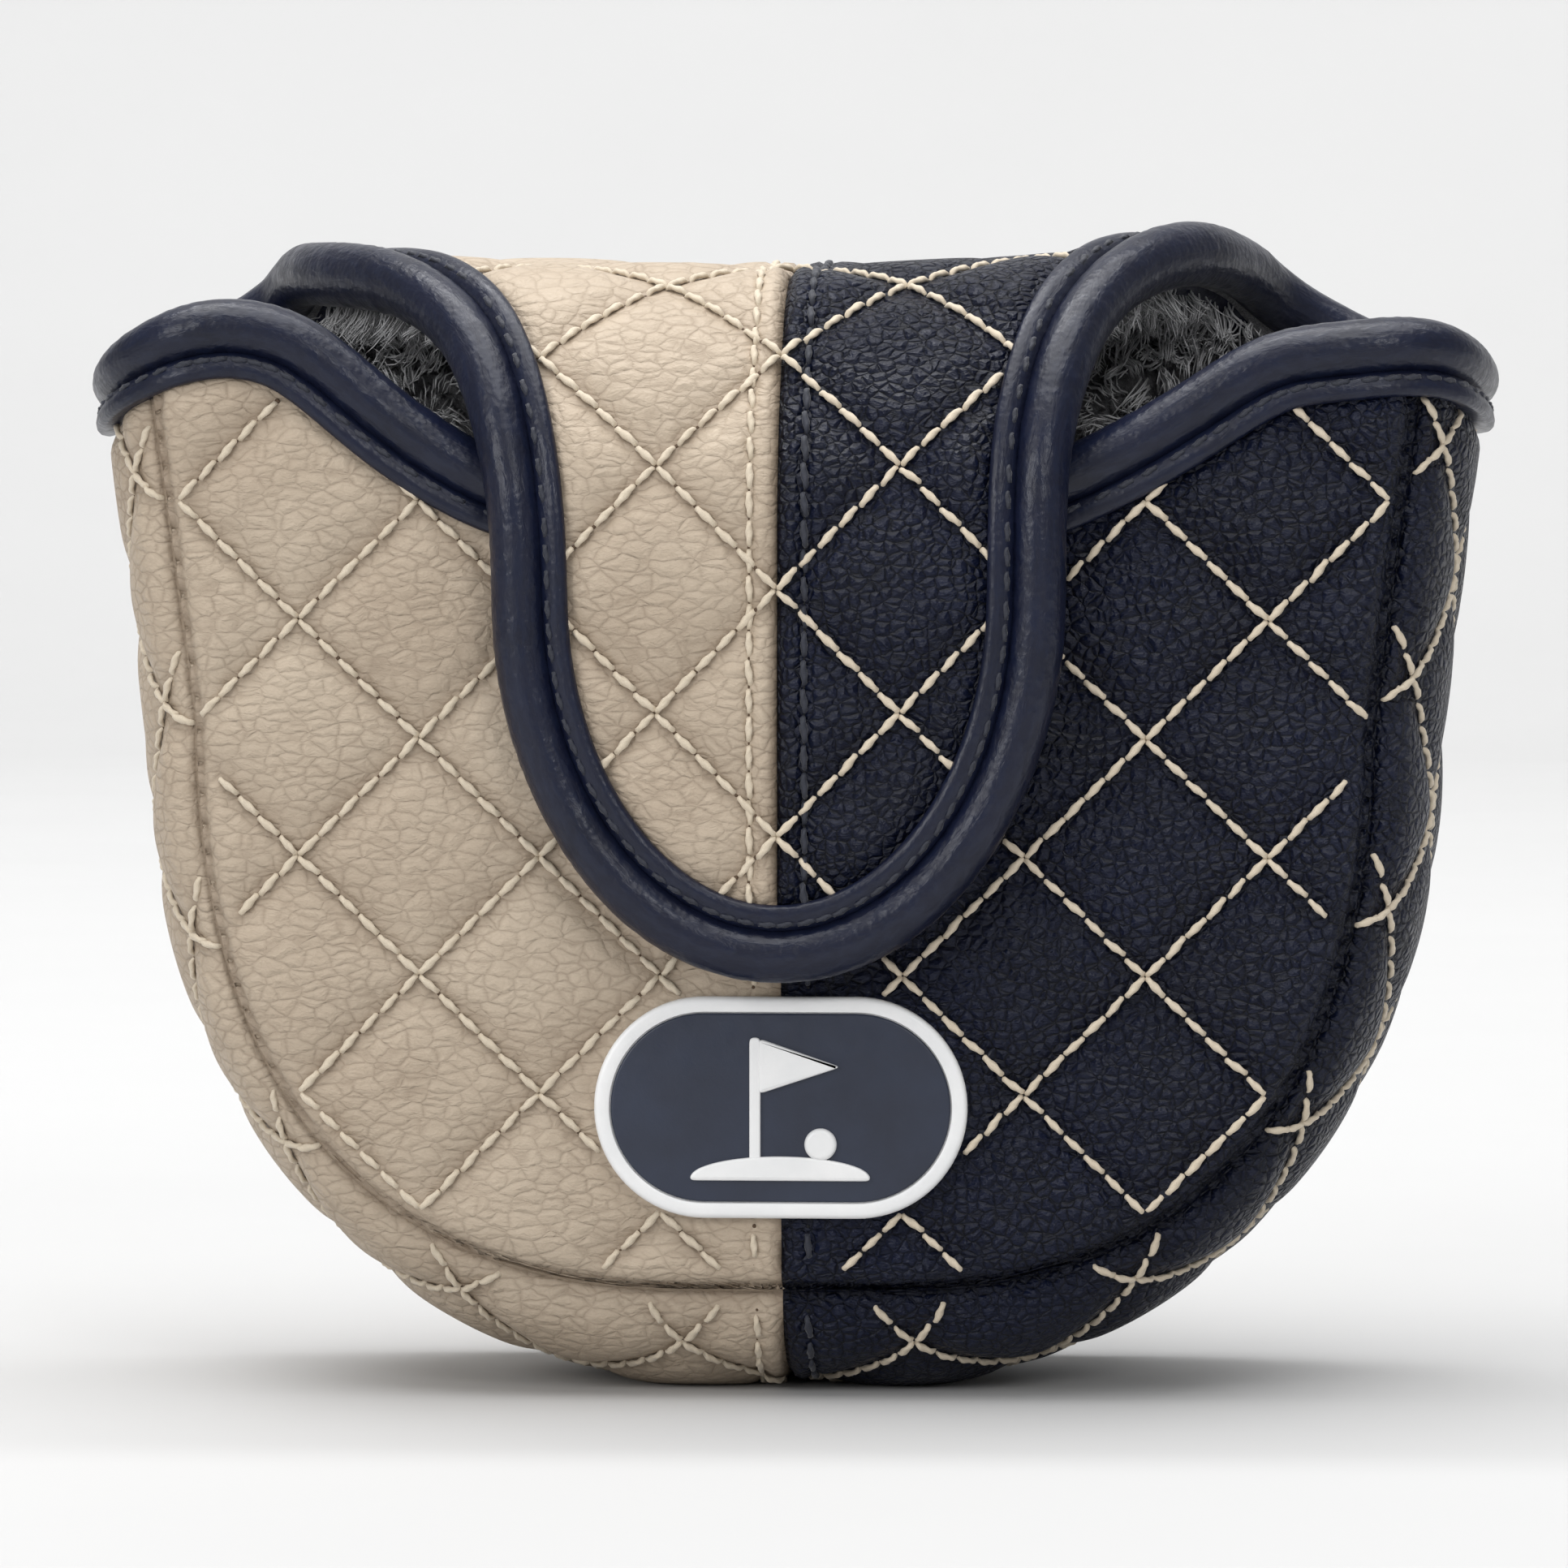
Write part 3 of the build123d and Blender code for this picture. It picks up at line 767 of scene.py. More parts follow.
def leather(name, low, high, groove_shade, rough, stretch, crease_depth, relief, shine):
    """Coated leather: rounded pebbles between fine creases, with painted shade along the sunk threads and seams."""
    f = Finish(name, 0.5)
    f.shader.inputs["Specular IOR Level"].default_value = shine
    blotch = f.noise(17.0, 4.0, 0.6)
    fine = f.noise(0.5, 3.0, 0.6)
    bent = f.warped(1.9, 0.42)
    pebble = f.cells(1.45, source=f.stretched(stretch, bent))
    small = f.cells(0.8, source=f.stretched(stretch, bent))
    patch = f.rerange(f.noise(7.5, 2.0), 0.38, 0.62, 0.55, 1.0)
    crease = f.math("MULTIPLY", f.rerange(pebble, 0.0, 0.14, 1.0, 0.0), patch)
    little = f.math("MULTIPLY", f.rerange(small, 0.0, 0.08, 0.3, 0.0), patch)
    line = f.math("MAXIMUM", crease, little)
    wide = f.mix(f.rerange(blotch, 0.3, 0.7, 0.0, 1.0), low, high)
    grained = f.mix(f.math("MULTIPLY", line, crease_depth), wide, groove_shade)
    speckled = f.mix(f.rerange(fine, 0.35, 0.75, 0.0, 0.14), grained, high)
    # painted shade: the colour is darkened along the sunk threads and at the seams, by the attribute that the walls
    # carry
    f.colour(f.mix(f.math("MULTIPLY", f.attribute("groove_shade"), 0.6), speckled, groove_shade))
    worn = f.rerange(fine, 0.3, 0.7, rough - 0.06, rough + 0.07)
    f.roughness(f.math("ADD", worn, f.math("MULTIPLY", line, 0.15)))
    f.bump(f.noise(5.5, 3.0, 0.6, twist=0.8), 0.30, 0.7)
    f.bump(f.noise(0.22, 2.0), 0.03, 0.7)
    f.bump(f.rerange(small, 0.0, 0.3, 0.0, 1.0), 0.04, 0.7)
    f.bump(f.noise(1.3, 4.0, 0.62, f.stretched((0.8, 0.8, 1.9), bent), 0.5), relief, 1.0)
    f.bump(f.math("POWER", f.rerange(pebble, 0.0, 0.42, 0.0, 1.0), 0.75), relief * 0.75, 1.0)
    return f.material


def binding_leather(name):
    """The thinner, shinier leather of the rolled edge: fine wrinkles across it where it turns."""
    f = Finish(name, 0.33)
    tree = f.tree
    path = tree.nodes.new("ShaderNodeCombineXYZ")
    tree.links.new(f.math("MULTIPLY", f.attribute("along"), 0.30), path.inputs["X"])
    tree.links.new(f.math("MULTIPLY", f.attribute("around"), 1.0), path.inputs["Y"])
    streaks = f.noise(0.8, 4.0, 0.6, path.outputs["Vector"], 0.5)
    wide = f.noise(9.0, 3.0, 0.6)
    pebble = f.cells(0.6, "SMOOTH_F1")
    base = f.mix(f.rerange(wide, 0.3, 0.7, 0.0, 1.0), linear(9, 14, 33), linear(15, 20, 42))
    f.colour(f.mix(f.rerange(streaks, 0.42, 0.62, 0.0, 0.5), base, linear(24, 31, 52)))
    f.roughness(f.rerange(streaks, 0.35, 0.65, 0.40, 0.29))
    f.shader.inputs["Specular IOR Level"].default_value = 0.36
    f.bump(streaks, 0.14, 0.75)
    f.bump(f.rerange(pebble, 0.1, 0.8, 1.0, 0.0), 0.05, 0.7)
    return f.material


def thread(name, low, high):
    """Twisted polyester thread, with its fibres along it."""
    f = Finish(name, 0.55, Sheen_Weight=0.25, Sheen_Roughness=0.4)
    fibres = f.noise(0.14, 3.0, 0.7)
    wide = f.noise(2.4, 2.0)
    f.colour(f.mix(f.rerange(fibres, 0.3, 0.7, 0.0, 0.8), low, f.mix(wide, low, high)))
    f.roughness(f.rerange(fibres, 0.3, 0.7, 0.5, 0.68))
    f.bump(fibres, 0.06, 0.8)
    return f.material


def pile(name, root, tip):
    """Plush strands: dark at the root, paler at the tip, each a little different."""
    f = Finish(name, 0.7, Sheen_Weight=0.35, Sheen_Roughness=0.45)
    own = f.mix(f.rerange(f.attribute("shade"), 0, 1, 0.0, 0.55), tip, linear(205, 205, 207))
    f.colour(f.mix(f.math("POWER", f.attribute("tip"), 0.8), root, own))
    f.roughness(f.rerange(f.noise(1.1), 0.3, 0.7, 0.62, 0.8))
    return f.material


def backing(name):
    """The knitted ground that the pile stands on."""
    f = Finish(name, 0.85, Sheen_Weight=0.4, Sheen_Roughness=0.5)
    knit = f.noise(0.8, 4.0, 0.75)
    wide = f.noise(6.0)
    loops = f.mix(wide, linear(122, 122, 124), linear(146, 146, 148))
    f.colour(f.mix(f.rerange(knit, 0.3, 0.7, 0, 1), linear(84, 84, 86), loops))
    f.roughness(f.rerange(knit, 0.3, 0.7, 0.9, 0.75))
    f.bump(knit, 0.9, 0.9)
    return f.material


def foam(name):
    f = Finish(name, 0.9)
    pores = f.cells(0.5, "F1")
    f.colour(f.mix(f.rerange(pores, 0.1, 0.6, 0, 1), linear(46, 46, 48), linear(76, 76, 78)))
    f.roughness(f.rerange(pores, 0.0, 0.6, 0.95, 0.8))
    f.bump(pores, 0.2, 0.8)
    return f.material


def moulded(name, low, high, rough, grain):
    """Soft moulded plastic of the badge."""
    f = Finish(name, rough, Coat_Weight=0.15, Coat_Roughness=0.3)
    f.colour(f.mix(f.rerange(f.noise(7.0, 4.0), 0.3, 0.7, 0, 1), low, high))
    f.roughness(f.rerange(f.noise(1.4), 0.3, 0.7, rough - 0.06, rough + 0.08))
    f.bump(f.noise(grain, 3.0, 0.7), 0.05, 0.7)
    return f.material


def shaded_hole(name):
    """Painted shade of the needle holes: brown in the tan leather, nearly black in the navy."""
    f = Finish(name, 0.85)
    split = f.tree.nodes.new("ShaderNodeSeparateXYZ")
    f.tree.links.new(f.place, split.inputs["Vector"])
    side = f.math("GREATER_THAN", split.outputs["X"], 0.0)
    f.colour(f.mix(side, linear(86, 68, 52), linear(8, 9, 14)))
    f.roughness(f.rerange(f.noise(0.3), 0.3, 0.7, 0.8, 0.95))
    return f.material


def steel(name):
    f = Finish(name, 0.3, Metallic=1.0)
    brushed = f.noise(0.5, 4.0, 0.7, f.stretched((1.0, 1.0, 9.0)))
    f.colour(f.mix(brushed, linear(150, 152, 156), linear(205, 206, 208)))
    f.roughness(f.rerange(brushed, 0.3, 0.7, 0.24, 0.42))
    f.bump(brushed, 0.02, 0.6)
    return f.material


def paper(name):
    f = Finish(name, 0.9)
    f.colour(f.mix(f.noise(120.0, 3.0), linear(192, 192, 192), linear(196, 196, 196)))
    f.roughness(f.rerange(f.noise(40.0), 0.3, 0.7, 0.85, 0.95))
    return f.material


TAN = leather(
    "tan_leather_finish", linear(172, 156, 137), linear(186, 171, 152), linear(108, 91, 74),
    rough=0.5, stretch=(0.62, 0.62, 1.15), crease_depth=0.34, relief=0.22, shine=0.32
)
NAVY = leather(
    "navy_leather_finish", linear(6, 12, 32), linear(15, 22, 46), linear(0, 1, 5),
    rough=0.36, stretch=(1.15, 1.15, 1.3), crease_depth=0.85, relief=0.62, shine=0.26
)
BINDING = binding_leather("binding_finish")
CREAM = thread("cream_thread_finish", linear(196, 182, 160), linear(232, 221, 203))
INDIGO = thread("navy_thread_finish", linear(22, 25, 36), linear(52, 57, 74))
PILE = pile("pile_finish", linear(165, 165, 167), linear(246, 246, 247))
BACKING = backing("pile_backing_finish")
FOAM = foam("foam_finish")
WHITE = moulded("badge_white_finish", linear(222, 223, 224), linear(234, 234, 234), 0.38, 0.8)
FIELD = moulded("badge_navy_finish", linear(24, 31, 49), linear(32, 41, 61), 0.42, 0.5)
STEEL = steel("magnet_finish")
PAPER = paper("floor_finish")
HOLE_SHADE = shaded_hole("needle_hole_shade_finish")


# ---------------------------------------------------------------- grids of the leather
def near_edge(points, which):
    """Distance to the bound edge: the whole mouth, or the flap's edge with the back of the mouth."""
    chosen = edge_marks < 0 if which == "mouth" else (edge_marks > 0) | (edge_points[:, 1] > 8)
    return distance_to(points.reshape(-1, 3), edge_points[chosen][::2]).reshape(points.shape[:-1])


def binding_fade(kind, a, b):
    """0 under the binding, 1 away from it."""
    which = "all" if kind == "sheet" else "mouth"
    return smoothstep(*BINDING_FADE, near_edge(SURFACES[kind][0](a, b), which))


def edge_fade(kind, a, b):
    """0 under the binding and at the seams, 1 on open leather."""
    fade = binding_fade(kind, a, b)
    if kind == "gusset":
        return fade * smoothstep(0.0, SEAM_FADE, np.minimum(b, GUSSET_WIDTH - b))
    if kind == "sheet":
        inner = smoothstep(0.0, SEAM_FADE, seam_distance(a, sheet_base(a, b)[..., 2]))
        return fade * np.where(b < 0, inner, 1.0)
    return fade * smoothstep(0.0, SEAM_FADE, seam_distance(a, b))


def seam_dip(kind, a, b):
    """How far the leather is pulled in at the seams of the pouch."""
    if kind == "gusset":
        d = np.minimum(b, GUSSET_WIDTH - b)
    elif kind == "sheet":
        z = np.interp(b, profile_along, flap_profile[:, 1])
        d = np.where(b < 0, seam_distance(a, z), 99.0)
    else:
        d = seam_distance(a, b)
    return SEAM_PULL[0] * np.exp(-(d / SEAM_PULL[1]) ** 2)


def surface_height(kind, a, b):
    """The height of the leather, sunk under the binding and pulled in at the seams."""
    sunk = BINDING_SINK * (1 - binding_fade(kind, a, b))
    high = height(kind, a, b) * edge_fade(kind, a, b) - sunk - seam_dip(kind, a, b)
    return np.maximum(high, -BINDING_SINK)


def groove_of(kind, a, b):
    """Painted shade: 1 in the sunk lines of thread, along the middle seam and in the pulled-in seams, 0 on the
    squares.
    """
    first, second = thread_distance(kind, a, b)
    near = np.exp(-(np.minimum(first, second) / 0.9) ** 2) * edge_fade(kind, a, b)
    middle = np.exp(-(np.abs(a) / 0.7) ** 2)
    if kind == "front":
        near = near * smoothstep(0, 2, badge_distance(a, b))
    return np.clip(near * 0.8 + middle + seam_dip(kind, a, b) * 1.6, 0, 1)


def mark(obj, name, values):
    attribute = obj.data.attributes.new(name, "FLOAT", "POINT")
    attribute.data.foreach_set("value", np.asarray(values, np.float32).ravel())


def sharpen(obj, angle=48):
    obj.data.set_sharp_from_angle(angle=math.radians(angle))
    return obj


def wall(name, kind, a, b, material):
    """The leather of one panel, with its quilting raised on the outside."""
    high = surface_height(kind, a, b)
    base, normal = frame_at(kind, a, b)
    outer = base + normal * high[..., None]
    inner = base - normal * LEATHER
    obj = sharpen(shell(name, outer, inner, material))
    # painted shade along the sunk threads and seams, on the outer points only
    mark(obj, "groove_shade", np.concatenate([groove_of(kind, a, b).ravel(), np.zeros(a.size)]))
    return obj


def rim_height(x):
    """Height of the front mouth's edge over x."""
    left, right = (np.interp(np.abs(x), *np.array(MOUTH_EDGE[side]).T) for side in (-1, 1))
    return np.where(np.asarray(x) < 0, left, right)


def sides(columns, side):
    """Shares across a half, from the middle seam outwards, closer together near the outside."""
    turn = np.linspace(0, math.pi / 2, columns)
    return side * np.sin(turn)


def eased(rows):
    """Shares from 0 to 1, closer together near 0, where the seam runs flat."""
    t = np.linspace(0, 1, rows)
    return t * t / (t + FLOOR_CROWDING) * (1 + FLOOR_CROWDING)


def front_grid(share, rows, drop=BAND_UNDER, foot=0.0, corner=0.0):
    """x and z over the front panel, from its floor to under the binding."""
    t = eased(rows)
    top = 100.0
    x_top = share * (seam_half(104.0) - corner)
    rim = rim_height(x_top)
    steep = np.abs(np.gradient(rim, x_top + 1e-9 * np.arange(len(x_top))))
    z_top = rim - drop - 0.35 * steep
    z_top = soften(z_top[:, None], 3)[:, 0] if len(z_top) > 12 else z_top
    low = SEAM_FLOOR + foot
    z = low + t[:, None] * (top - low) + (z_top[None] - top) * smoothstep(0.35, 1, t)[:, None]
    x = share[None] * (seam_half(z - corner) - corner)
    return x, z


def sheet_half(x, along, inset, corner=0.0):
    """Half width of the leather of the back panel and the flap, on the side that x is on."""
    back = seam_half(ROOT_TOP + along - corner) - corner
    flap = flap_half(x, np.minimum(along, OVAL_START), inset)
    return back + (flap - back) * smoothstep(-2.0, 6.5, along)


def sheet_grid(share, rows, low, high, inset=BAND_UNDER, corner=0.0):
    """x and distance along the back panel and flap; the last stretch ends in the tongue's oval tip."""
    if high is None:
        last = OVAL_START + (TONGUE_ROUND - inset) * np.sqrt(1 - np.minimum(np.abs(share), 1) ** 2)
    else:
        last = np.full(len(share), float(high))
    t = (eased(rows) if low < 0 else np.linspace(0, 1, rows))[:, None]
    along = low + t * (last[None] - low)
    x = share[None] * sheet_half(share[None], along, inset, corner)
    return x, along


def rim_at(depth, side, beyond):
    """Height of the mouth's edge at depths on one side, from its points further out than beyond."""
    chosen = (edge_marks < 0) & (edge_points[:, 0] * side > beyond) & (edge_points[:, 1] > FRONT_FACE + 0.6)
    mouth = edge_points[chosen]
    order = np.argsort(mouth[:, 1])
    return np.interp(depth, mouth[order, 1], mouth[order, 2])


def gusset_grid(low, high, columns, rows, drop=BAND_UNDER, margin=0.0):
    """Distances along and across the gusset; low and high are shares of each half's length to the mouth."""
    across = margin + (GUSSET_WIDTH - 2 * margin) * dense_ends(rows)
    table = np.linspace(0, crest_length, 260)
    ends = []
    shares = np.linspace(low, high, columns)
    for side in (-1, 1):
        reached = []
        for b in across:
            p = gusset_base(table, np.full_like(table, b))
            rim = rim_at(p[:, 1], side, 50) - drop
            reached.append(np.interp(0, p[:, 2][100:] - rim[100:], table[100:]))
        ends.append(np.array(reached)[:, None])
    along = np.where(shares < 0, shares * ends[0], shares * ends[1])
    return along, np.repeat(across[:, None], columns, 1)


left_to_right = {"tan": -1, "navy": 1}


def keep(obj, body=None, bend=None, slot=None, stands_for=()):
    """Ties a piece to its body, or only bakes its place in when it spans a bend, and hides the CAD parts that it
    stands for.
    """
    if bend:
        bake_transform(obj)
    else:
        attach(obj, body)
    if stands_for:
        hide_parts(*stands_for)
    return obj


BACK_BEND = ("cover", "flap_rear", (0, 27.5, 106.5), (0, 16.0, 114.0))
CROWN_BEND = ("flap_rear", "flap_front", (0, 13.0, 114.0), (0, -6.0, 113.4))
TONGUE_BEND = ("flap_front", "tongue", (0, -26.0, 89.0), (0, -27.5, 64.0))
BACK_LOW = SEAM_FLOOR - ROOT_TOP
# name, start and end along the sheet, rows, bend, and the CAD nodes of its leather, padding and lining
STRETCHES = [
    ("back", BACK_LOW, REAR_SPLIT, 170, BACK_BEND,
     ["back_panel_{}", "flap_rear_{}"], ["back_foam", "flap_rear_foam"], ["back_lining", "flap_rear_lining"]),
    ("crown", REAR_SPLIT, FRONT_SPLIT, 56, CROWN_BEND,
     ["flap_front_{}"], ["flap_front_foam"], ["flap_front_lining"]),
    ("tongue", FRONT_SPLIT, None, 110, TONGUE_BEND, ["tongue_{}"], ["tongue_foam"], ["tongue_lining"]),
]


# ---------------------------------------------------------------- leather, padding and lining ground
for colour, side in left_to_right.items():
    finish = TAN if colour == "tan" else NAVY
    x, z = front_grid(sides(92, side), 160)
    obj = wall(f"front_leather_{colour}", "front", x, z, finish)
    keep(obj, "cover", slot=f"{colour}_leather", stands_for=[f"front_panel_{colour}"])

    x, b = gusset_grid(0, side, 200, 58)
    obj = wall(f"gusset_leather_{colour}", "gusset", x, b, finish)
    keep(obj, "cover", slot=f"{colour}_leather", stands_for=[f"gusset_{colour}"])

    for name, low, high, rows, bend, nodes, _, _ in STRETCHES:
        x, along = sheet_grid(sides(84, side), rows, low, high)
        obj = wall(f"{name}_leather_{colour}", "sheet", x, along, finish)
        keep(obj, bend=bend, slot=f"{colour}_leather", stands_for=[n.format(colour) for n in nodes])

whole = np.sin(np.linspace(-math.pi / 2, math.pi / 2, 71))
UNDER_LEATHER = (
    ("padding", PADDING, FOAM, "padding", "foam"),
    ("lining_ground", LINING, BACKING, "plush", "lining"),
)
for name, (outside, inside), finish, slot, node in UNDER_LEATHER:
    x, z = front_grid(whole, 60, BAND_UNDER, 4.0, LINING_CORNER)
    obj = layer(f"front_{name}", "front", x, z, -outside, inside, finish)
    keep(obj, "cover", slot=slot, stands_for=[f"front_{node}"])
    along, across = gusset_grid(-1, 1, 180, 26, BAND_UNDER, 2.4)
    obj = layer(f"gusset_{name}", "gusset", along, across, -outside, inside, finish)
    keep(obj, "cover", slot=slot, stands_for=[f"gusset_{node}"])
    for stretch, low, high, rows, bend, _, foams, linings in STRETCHES:
        foot = 3.5 if stretch == "back" else 0.0
        x, along = sheet_grid(whole, rows // 2, low + foot, high, BAND_UNDER, LINING_CORNER)
        obj = layer(f"{stretch}_{name}", "sheet", x, along, -outside, inside, finish)
        keep(obj, bend=bend, slot=slot, stands_for=foams if slot == "padding" else linings)


# ---------------------------------------------------------------- bindings
total = len(edge_points)
tip_at = int(np.argmax(edge_marks))
corner, rear_cut, front_cut = (int(np.argmax(edge_marks[:tip_at] >= m)) for m in (0, REAR_SPLIT, FRONT_SPLIT))
left_corner, left_rear, left_front = (
    total - int(np.argmax(edge_marks[:tip_at:-1] >= m)) - 1 for m in (0, REAR_SPLIT, FRONT_SPLIT)
)
PARTS = [
    ("mouth_binding_roll", left_corner - total, corner, None, ["mouth_binding"]),
    ("rear_binding_roll_right", corner, rear_cut, BACK_BEND, ["flap_rear_binding_right"]),
    ("crown_binding_roll_right", rear_cut, front_cut, CROWN_BEND, ["flap_front_binding_right"]),
    ("tongue_binding_roll", front_cut, left_front, TONGUE_BEND, ["tongue_binding"]),
    ("crown_binding_roll_left", left_front, left_rear, CROWN_BEND, ["flap_front_binding_left"]),
    ("rear_binding_roll_left", left_rear, left_corner, BACK_BEND, ["flap_rear_binding_left"]),
]
edge_run = np.arange(total) * PATH_STEP


def wrinkles(along, around):
    """Small folds across the binding."""
    fine = np.sin(along * 2.3 + 2.6 * np.sin(along * 0.57) + around * 1.8)
    return 0.012 * fine * np.sin(along * 0.31 + around)


def wrinkled_roll(name, first, last):
    """One length of the binding, between two places on the edge."""
    index = np.arange(first, last + 1) % total
    size = len(BINDING_SECTION)
    run = edge_run[index][:, None]
    section = np.repeat(BINDING_SECTION[None], len(index), 0).copy()
    around = np.linspace(0, 2 * math.pi, size)[None]
    grow = 1 + wrinkles(run, around) + 0.015 * np.sin(run * 0.21 + 2)
    on_roll = slice(len(OUTER_FLANGE), len(OUTER_FLANGE) + len(roll_turn))
    centre = np.array(ROLL_CENTRE)
    section[:, on_roll] = centre + (section[:, on_roll] - centre) * grow[:, on_roll, None]
    rings = swept(edge_points[index], edge_normals[index], edge_away[index], section)
    obj = sharpen(tube(name, rings, BINDING), 70)
    mark(obj, "along", np.repeat(run, size, 1))
    mark(obj, "around", np.repeat(around * 3.0, len(index), 0))
    return obj


STITCH_SPOT = (0.50, -5.95)
STITCH_STEP = 2.6
for name, first, last, bend, nodes in PARTS:
    obj = wrinkled_roll(name, first, last)
    keep(obj, "cover", bend=bend, slot="binding", stands_for=nodes)
    index = np.arange(first + 2, last - 2)
    count = max(2, int(len(index) * PATH_STEP / STITCH_STEP))
    spots = index[np.round((np.arange(count) + 0.5) / count * (len(index) - 1)).astype(int)] % total
    centres = edge_points[spots] + STITCH_SPOT[0] * edge_normals[spots] + STITCH_SPOT[1] * edge_away[spots]
    group = (centres, edge_forward[spots], edge_normals[spots], 2.2, 0.28)
    threads = stitch_piece(name.replace("roll", "threads"), [group], INDIGO)
    keep(threads, "cover", bend=bend, slot="binding")


# ---------------------------------------------------------------- seam tapes
SEAM_TAPE_RADIUS = 1.35
SEAM_TAPE_INSET = 0.85
tape_turn = np.linspace(0, 2 * math.pi, 14, endpoint=False)
tape_section = SEAM_TAPE_RADIUS * np.column_stack([np.cos(tape_turn), np.sin(tape_turn)])
tape_line = resample(seam_line[seam_line[:, 1] < 100.0], 1.0)
tape_ahead = unit(np.gradient(tape_line, axis=0))
tape_inward = np.column_stack([-tape_ahead[:, 1], tape_ahead[:, 0]])
tape_inward *= np.where((tape_inward * (tape_line - (0, 60.0))).sum(1) > 0, -1, 1)[:, None]
tape_spot = tape_line + tape_inward * SEAM_TAPE_INSET
zero, one = np.zeros(len(tape_line)), np.ones(len(tape_line))
for seam, depth in (("front", SEAM_DEPTHS[0] + SEAM_TAPE_INSET), ("rear", SEAM_DEPTHS[1] - SEAM_TAPE_INSET)):
    for colour, side in left_to_right.items():
        centre = np.column_stack([side * tape_spot[:, 0], depth * one, tape_spot[:, 1]])
        across = np.column_stack([side * tape_inward[:, 0], zero, tape_inward[:, 1]])
        deep = np.column_stack([zero, one, zero])
        rings = swept(centre, across, deep, tape_section[None])
        obj = tube(f"{seam}_seam_tape_{colour}", rings, TAN if colour == "tan" else NAVY)
        # painted shade: the tapes deep in the pouch's corners are darkened as if in shade
        mark(obj, "groove_shade", np.full(len(obj.data.vertices), 0.8))
        keep(obj, "cover", slot=f"{colour}_leather")


# ---------------------------------------------------------------- quilting and middle seam threads
def open_leather(kind, low, high):
    """Test for surface places where the quilting shows, between two distances along a sheet."""
    def test(a, b):
        if kind == "front":
            ok = (b > SEAM_FLOOR) & (b < rim_height(a) - 6.8) & (np.abs(a) < seam_half(b))
            ok &= (seam_distance(a, b) > 1.3) & (badge_distance(a, b) > 0.9)
        elif kind == "gusset":
            ok = (b > 1.6) & (b < GUSSET_WIDTH - 1.6) & (np.abs(a) < crest_length)
        else:
            ok = (b > low) & (b < high) & (np.abs(a) < sheet_half(a, b, 7.0))
            z = np.interp(b, profile_along, flap_profile[:, 1])
            ok &= (b > 0) | (seam_distance(a, z) > 1.3)
            ok &= (b > 0) | (np.abs(a) < seam_half(ROOT_TOP + b) - 1.3)
            ok &= (b > BACK_LOW + 1.2) & ((b < OVAL_START) | (np.abs(a) < flap_half(a, b, 7.0)))
        ok &= np.abs(a) > 0.6
        picked = np.nonzero(ok)
        if len(picked[0]):
            points = SURFACES[kind][0](a[picked], b[picked])
            ok[picked] = near_edge(points, "all" if kind == "sheet" else "mouth") > 7.3
            if kind == "gusset":
                ok[picked] &= points[:, 2] < 104
        return ok
    return test


LONG = STITCH_PITCH * STITCH_SHARE
SEAM_PITCH = 2.7
SHEET_SPANS = {
    "front": ("front", None, None, None, "cover"),
    "gusset": ("gusset", None, None, None, "cover"),
    "back": ("sheet", BACK_LOW, REAR_SPLIT, BACK_BEND, None),
    "crown": ("sheet", REAR_SPLIT, FRONT_SPLIT, CROWN_BEND, None),
    "tongue": ("sheet", FRONT_SPLIT, TIP, TONGUE_BEND, None),
}
SEAM_ROWS = {
    "front": [(SEAM_FLOOR + 2.6, BADGE_LOW[2] - 0.9), (BADGE_HIGH[2] + 0.9, 81.0)],
    "gusset": [(1.6, GUSSET_WIDTH - 1.6)],
    "back": [(BACK_LOW + 1.5, REAR_SPLIT)],
    "crown": [(REAR_SPLIT, FRONT_SPLIT)],
    "tongue": [(FRONT_SPLIT, TIP - 7.4)],
}
for name, (kind, low, high, bend, body) in SHEET_SPANS.items():
    middles, ways, holes = quilt_places(kind, open_leather(kind, low, high))
    where = on_surface(kind, middles, ways, 0.18)
    obj = stitch_piece(f"{name}_quilt_threads", [(*where, LONG, THREAD)], CREAM)
    keep(obj, body, bend=bend, slot="tan_leather")
    rows = {}
    for colour, side in left_to_right.items():
        groups = []
        for start, end in SEAM_ROWS[name]:
            spots, way, gaps = line_places((side * TOPSTITCH, start), (side * TOPSTITCH, end), SEAM_PITCH)
            where = on_surface(kind, spots, way, 0.15)
            groups.append((*where, SEAM_PITCH * STITCH_SHARE, 0.33))
            holes = np.vstack([holes, gaps])
        obj = stitch_piece(f"{name}_seam_threads_{colour}", groups, CREAM if colour == "tan" else INDIGO)
        keep(obj, body, bend=bend, slot=f"{colour}_leather")
    places, _, out = on_surface(kind, holes, np.tile([[0.0, 1.0]], (len(holes), 1)), 0.0)
    # painted shade: flush dark lenses where the needle holes are
    obj = hole_piece(f"{name}_needle_holes", places, out, HOLE_SHADE)
    keep(obj, body, bend=bend, slot="navy_leather")


# ---------------------------------------------------------------- pile
TUFT = 2.3


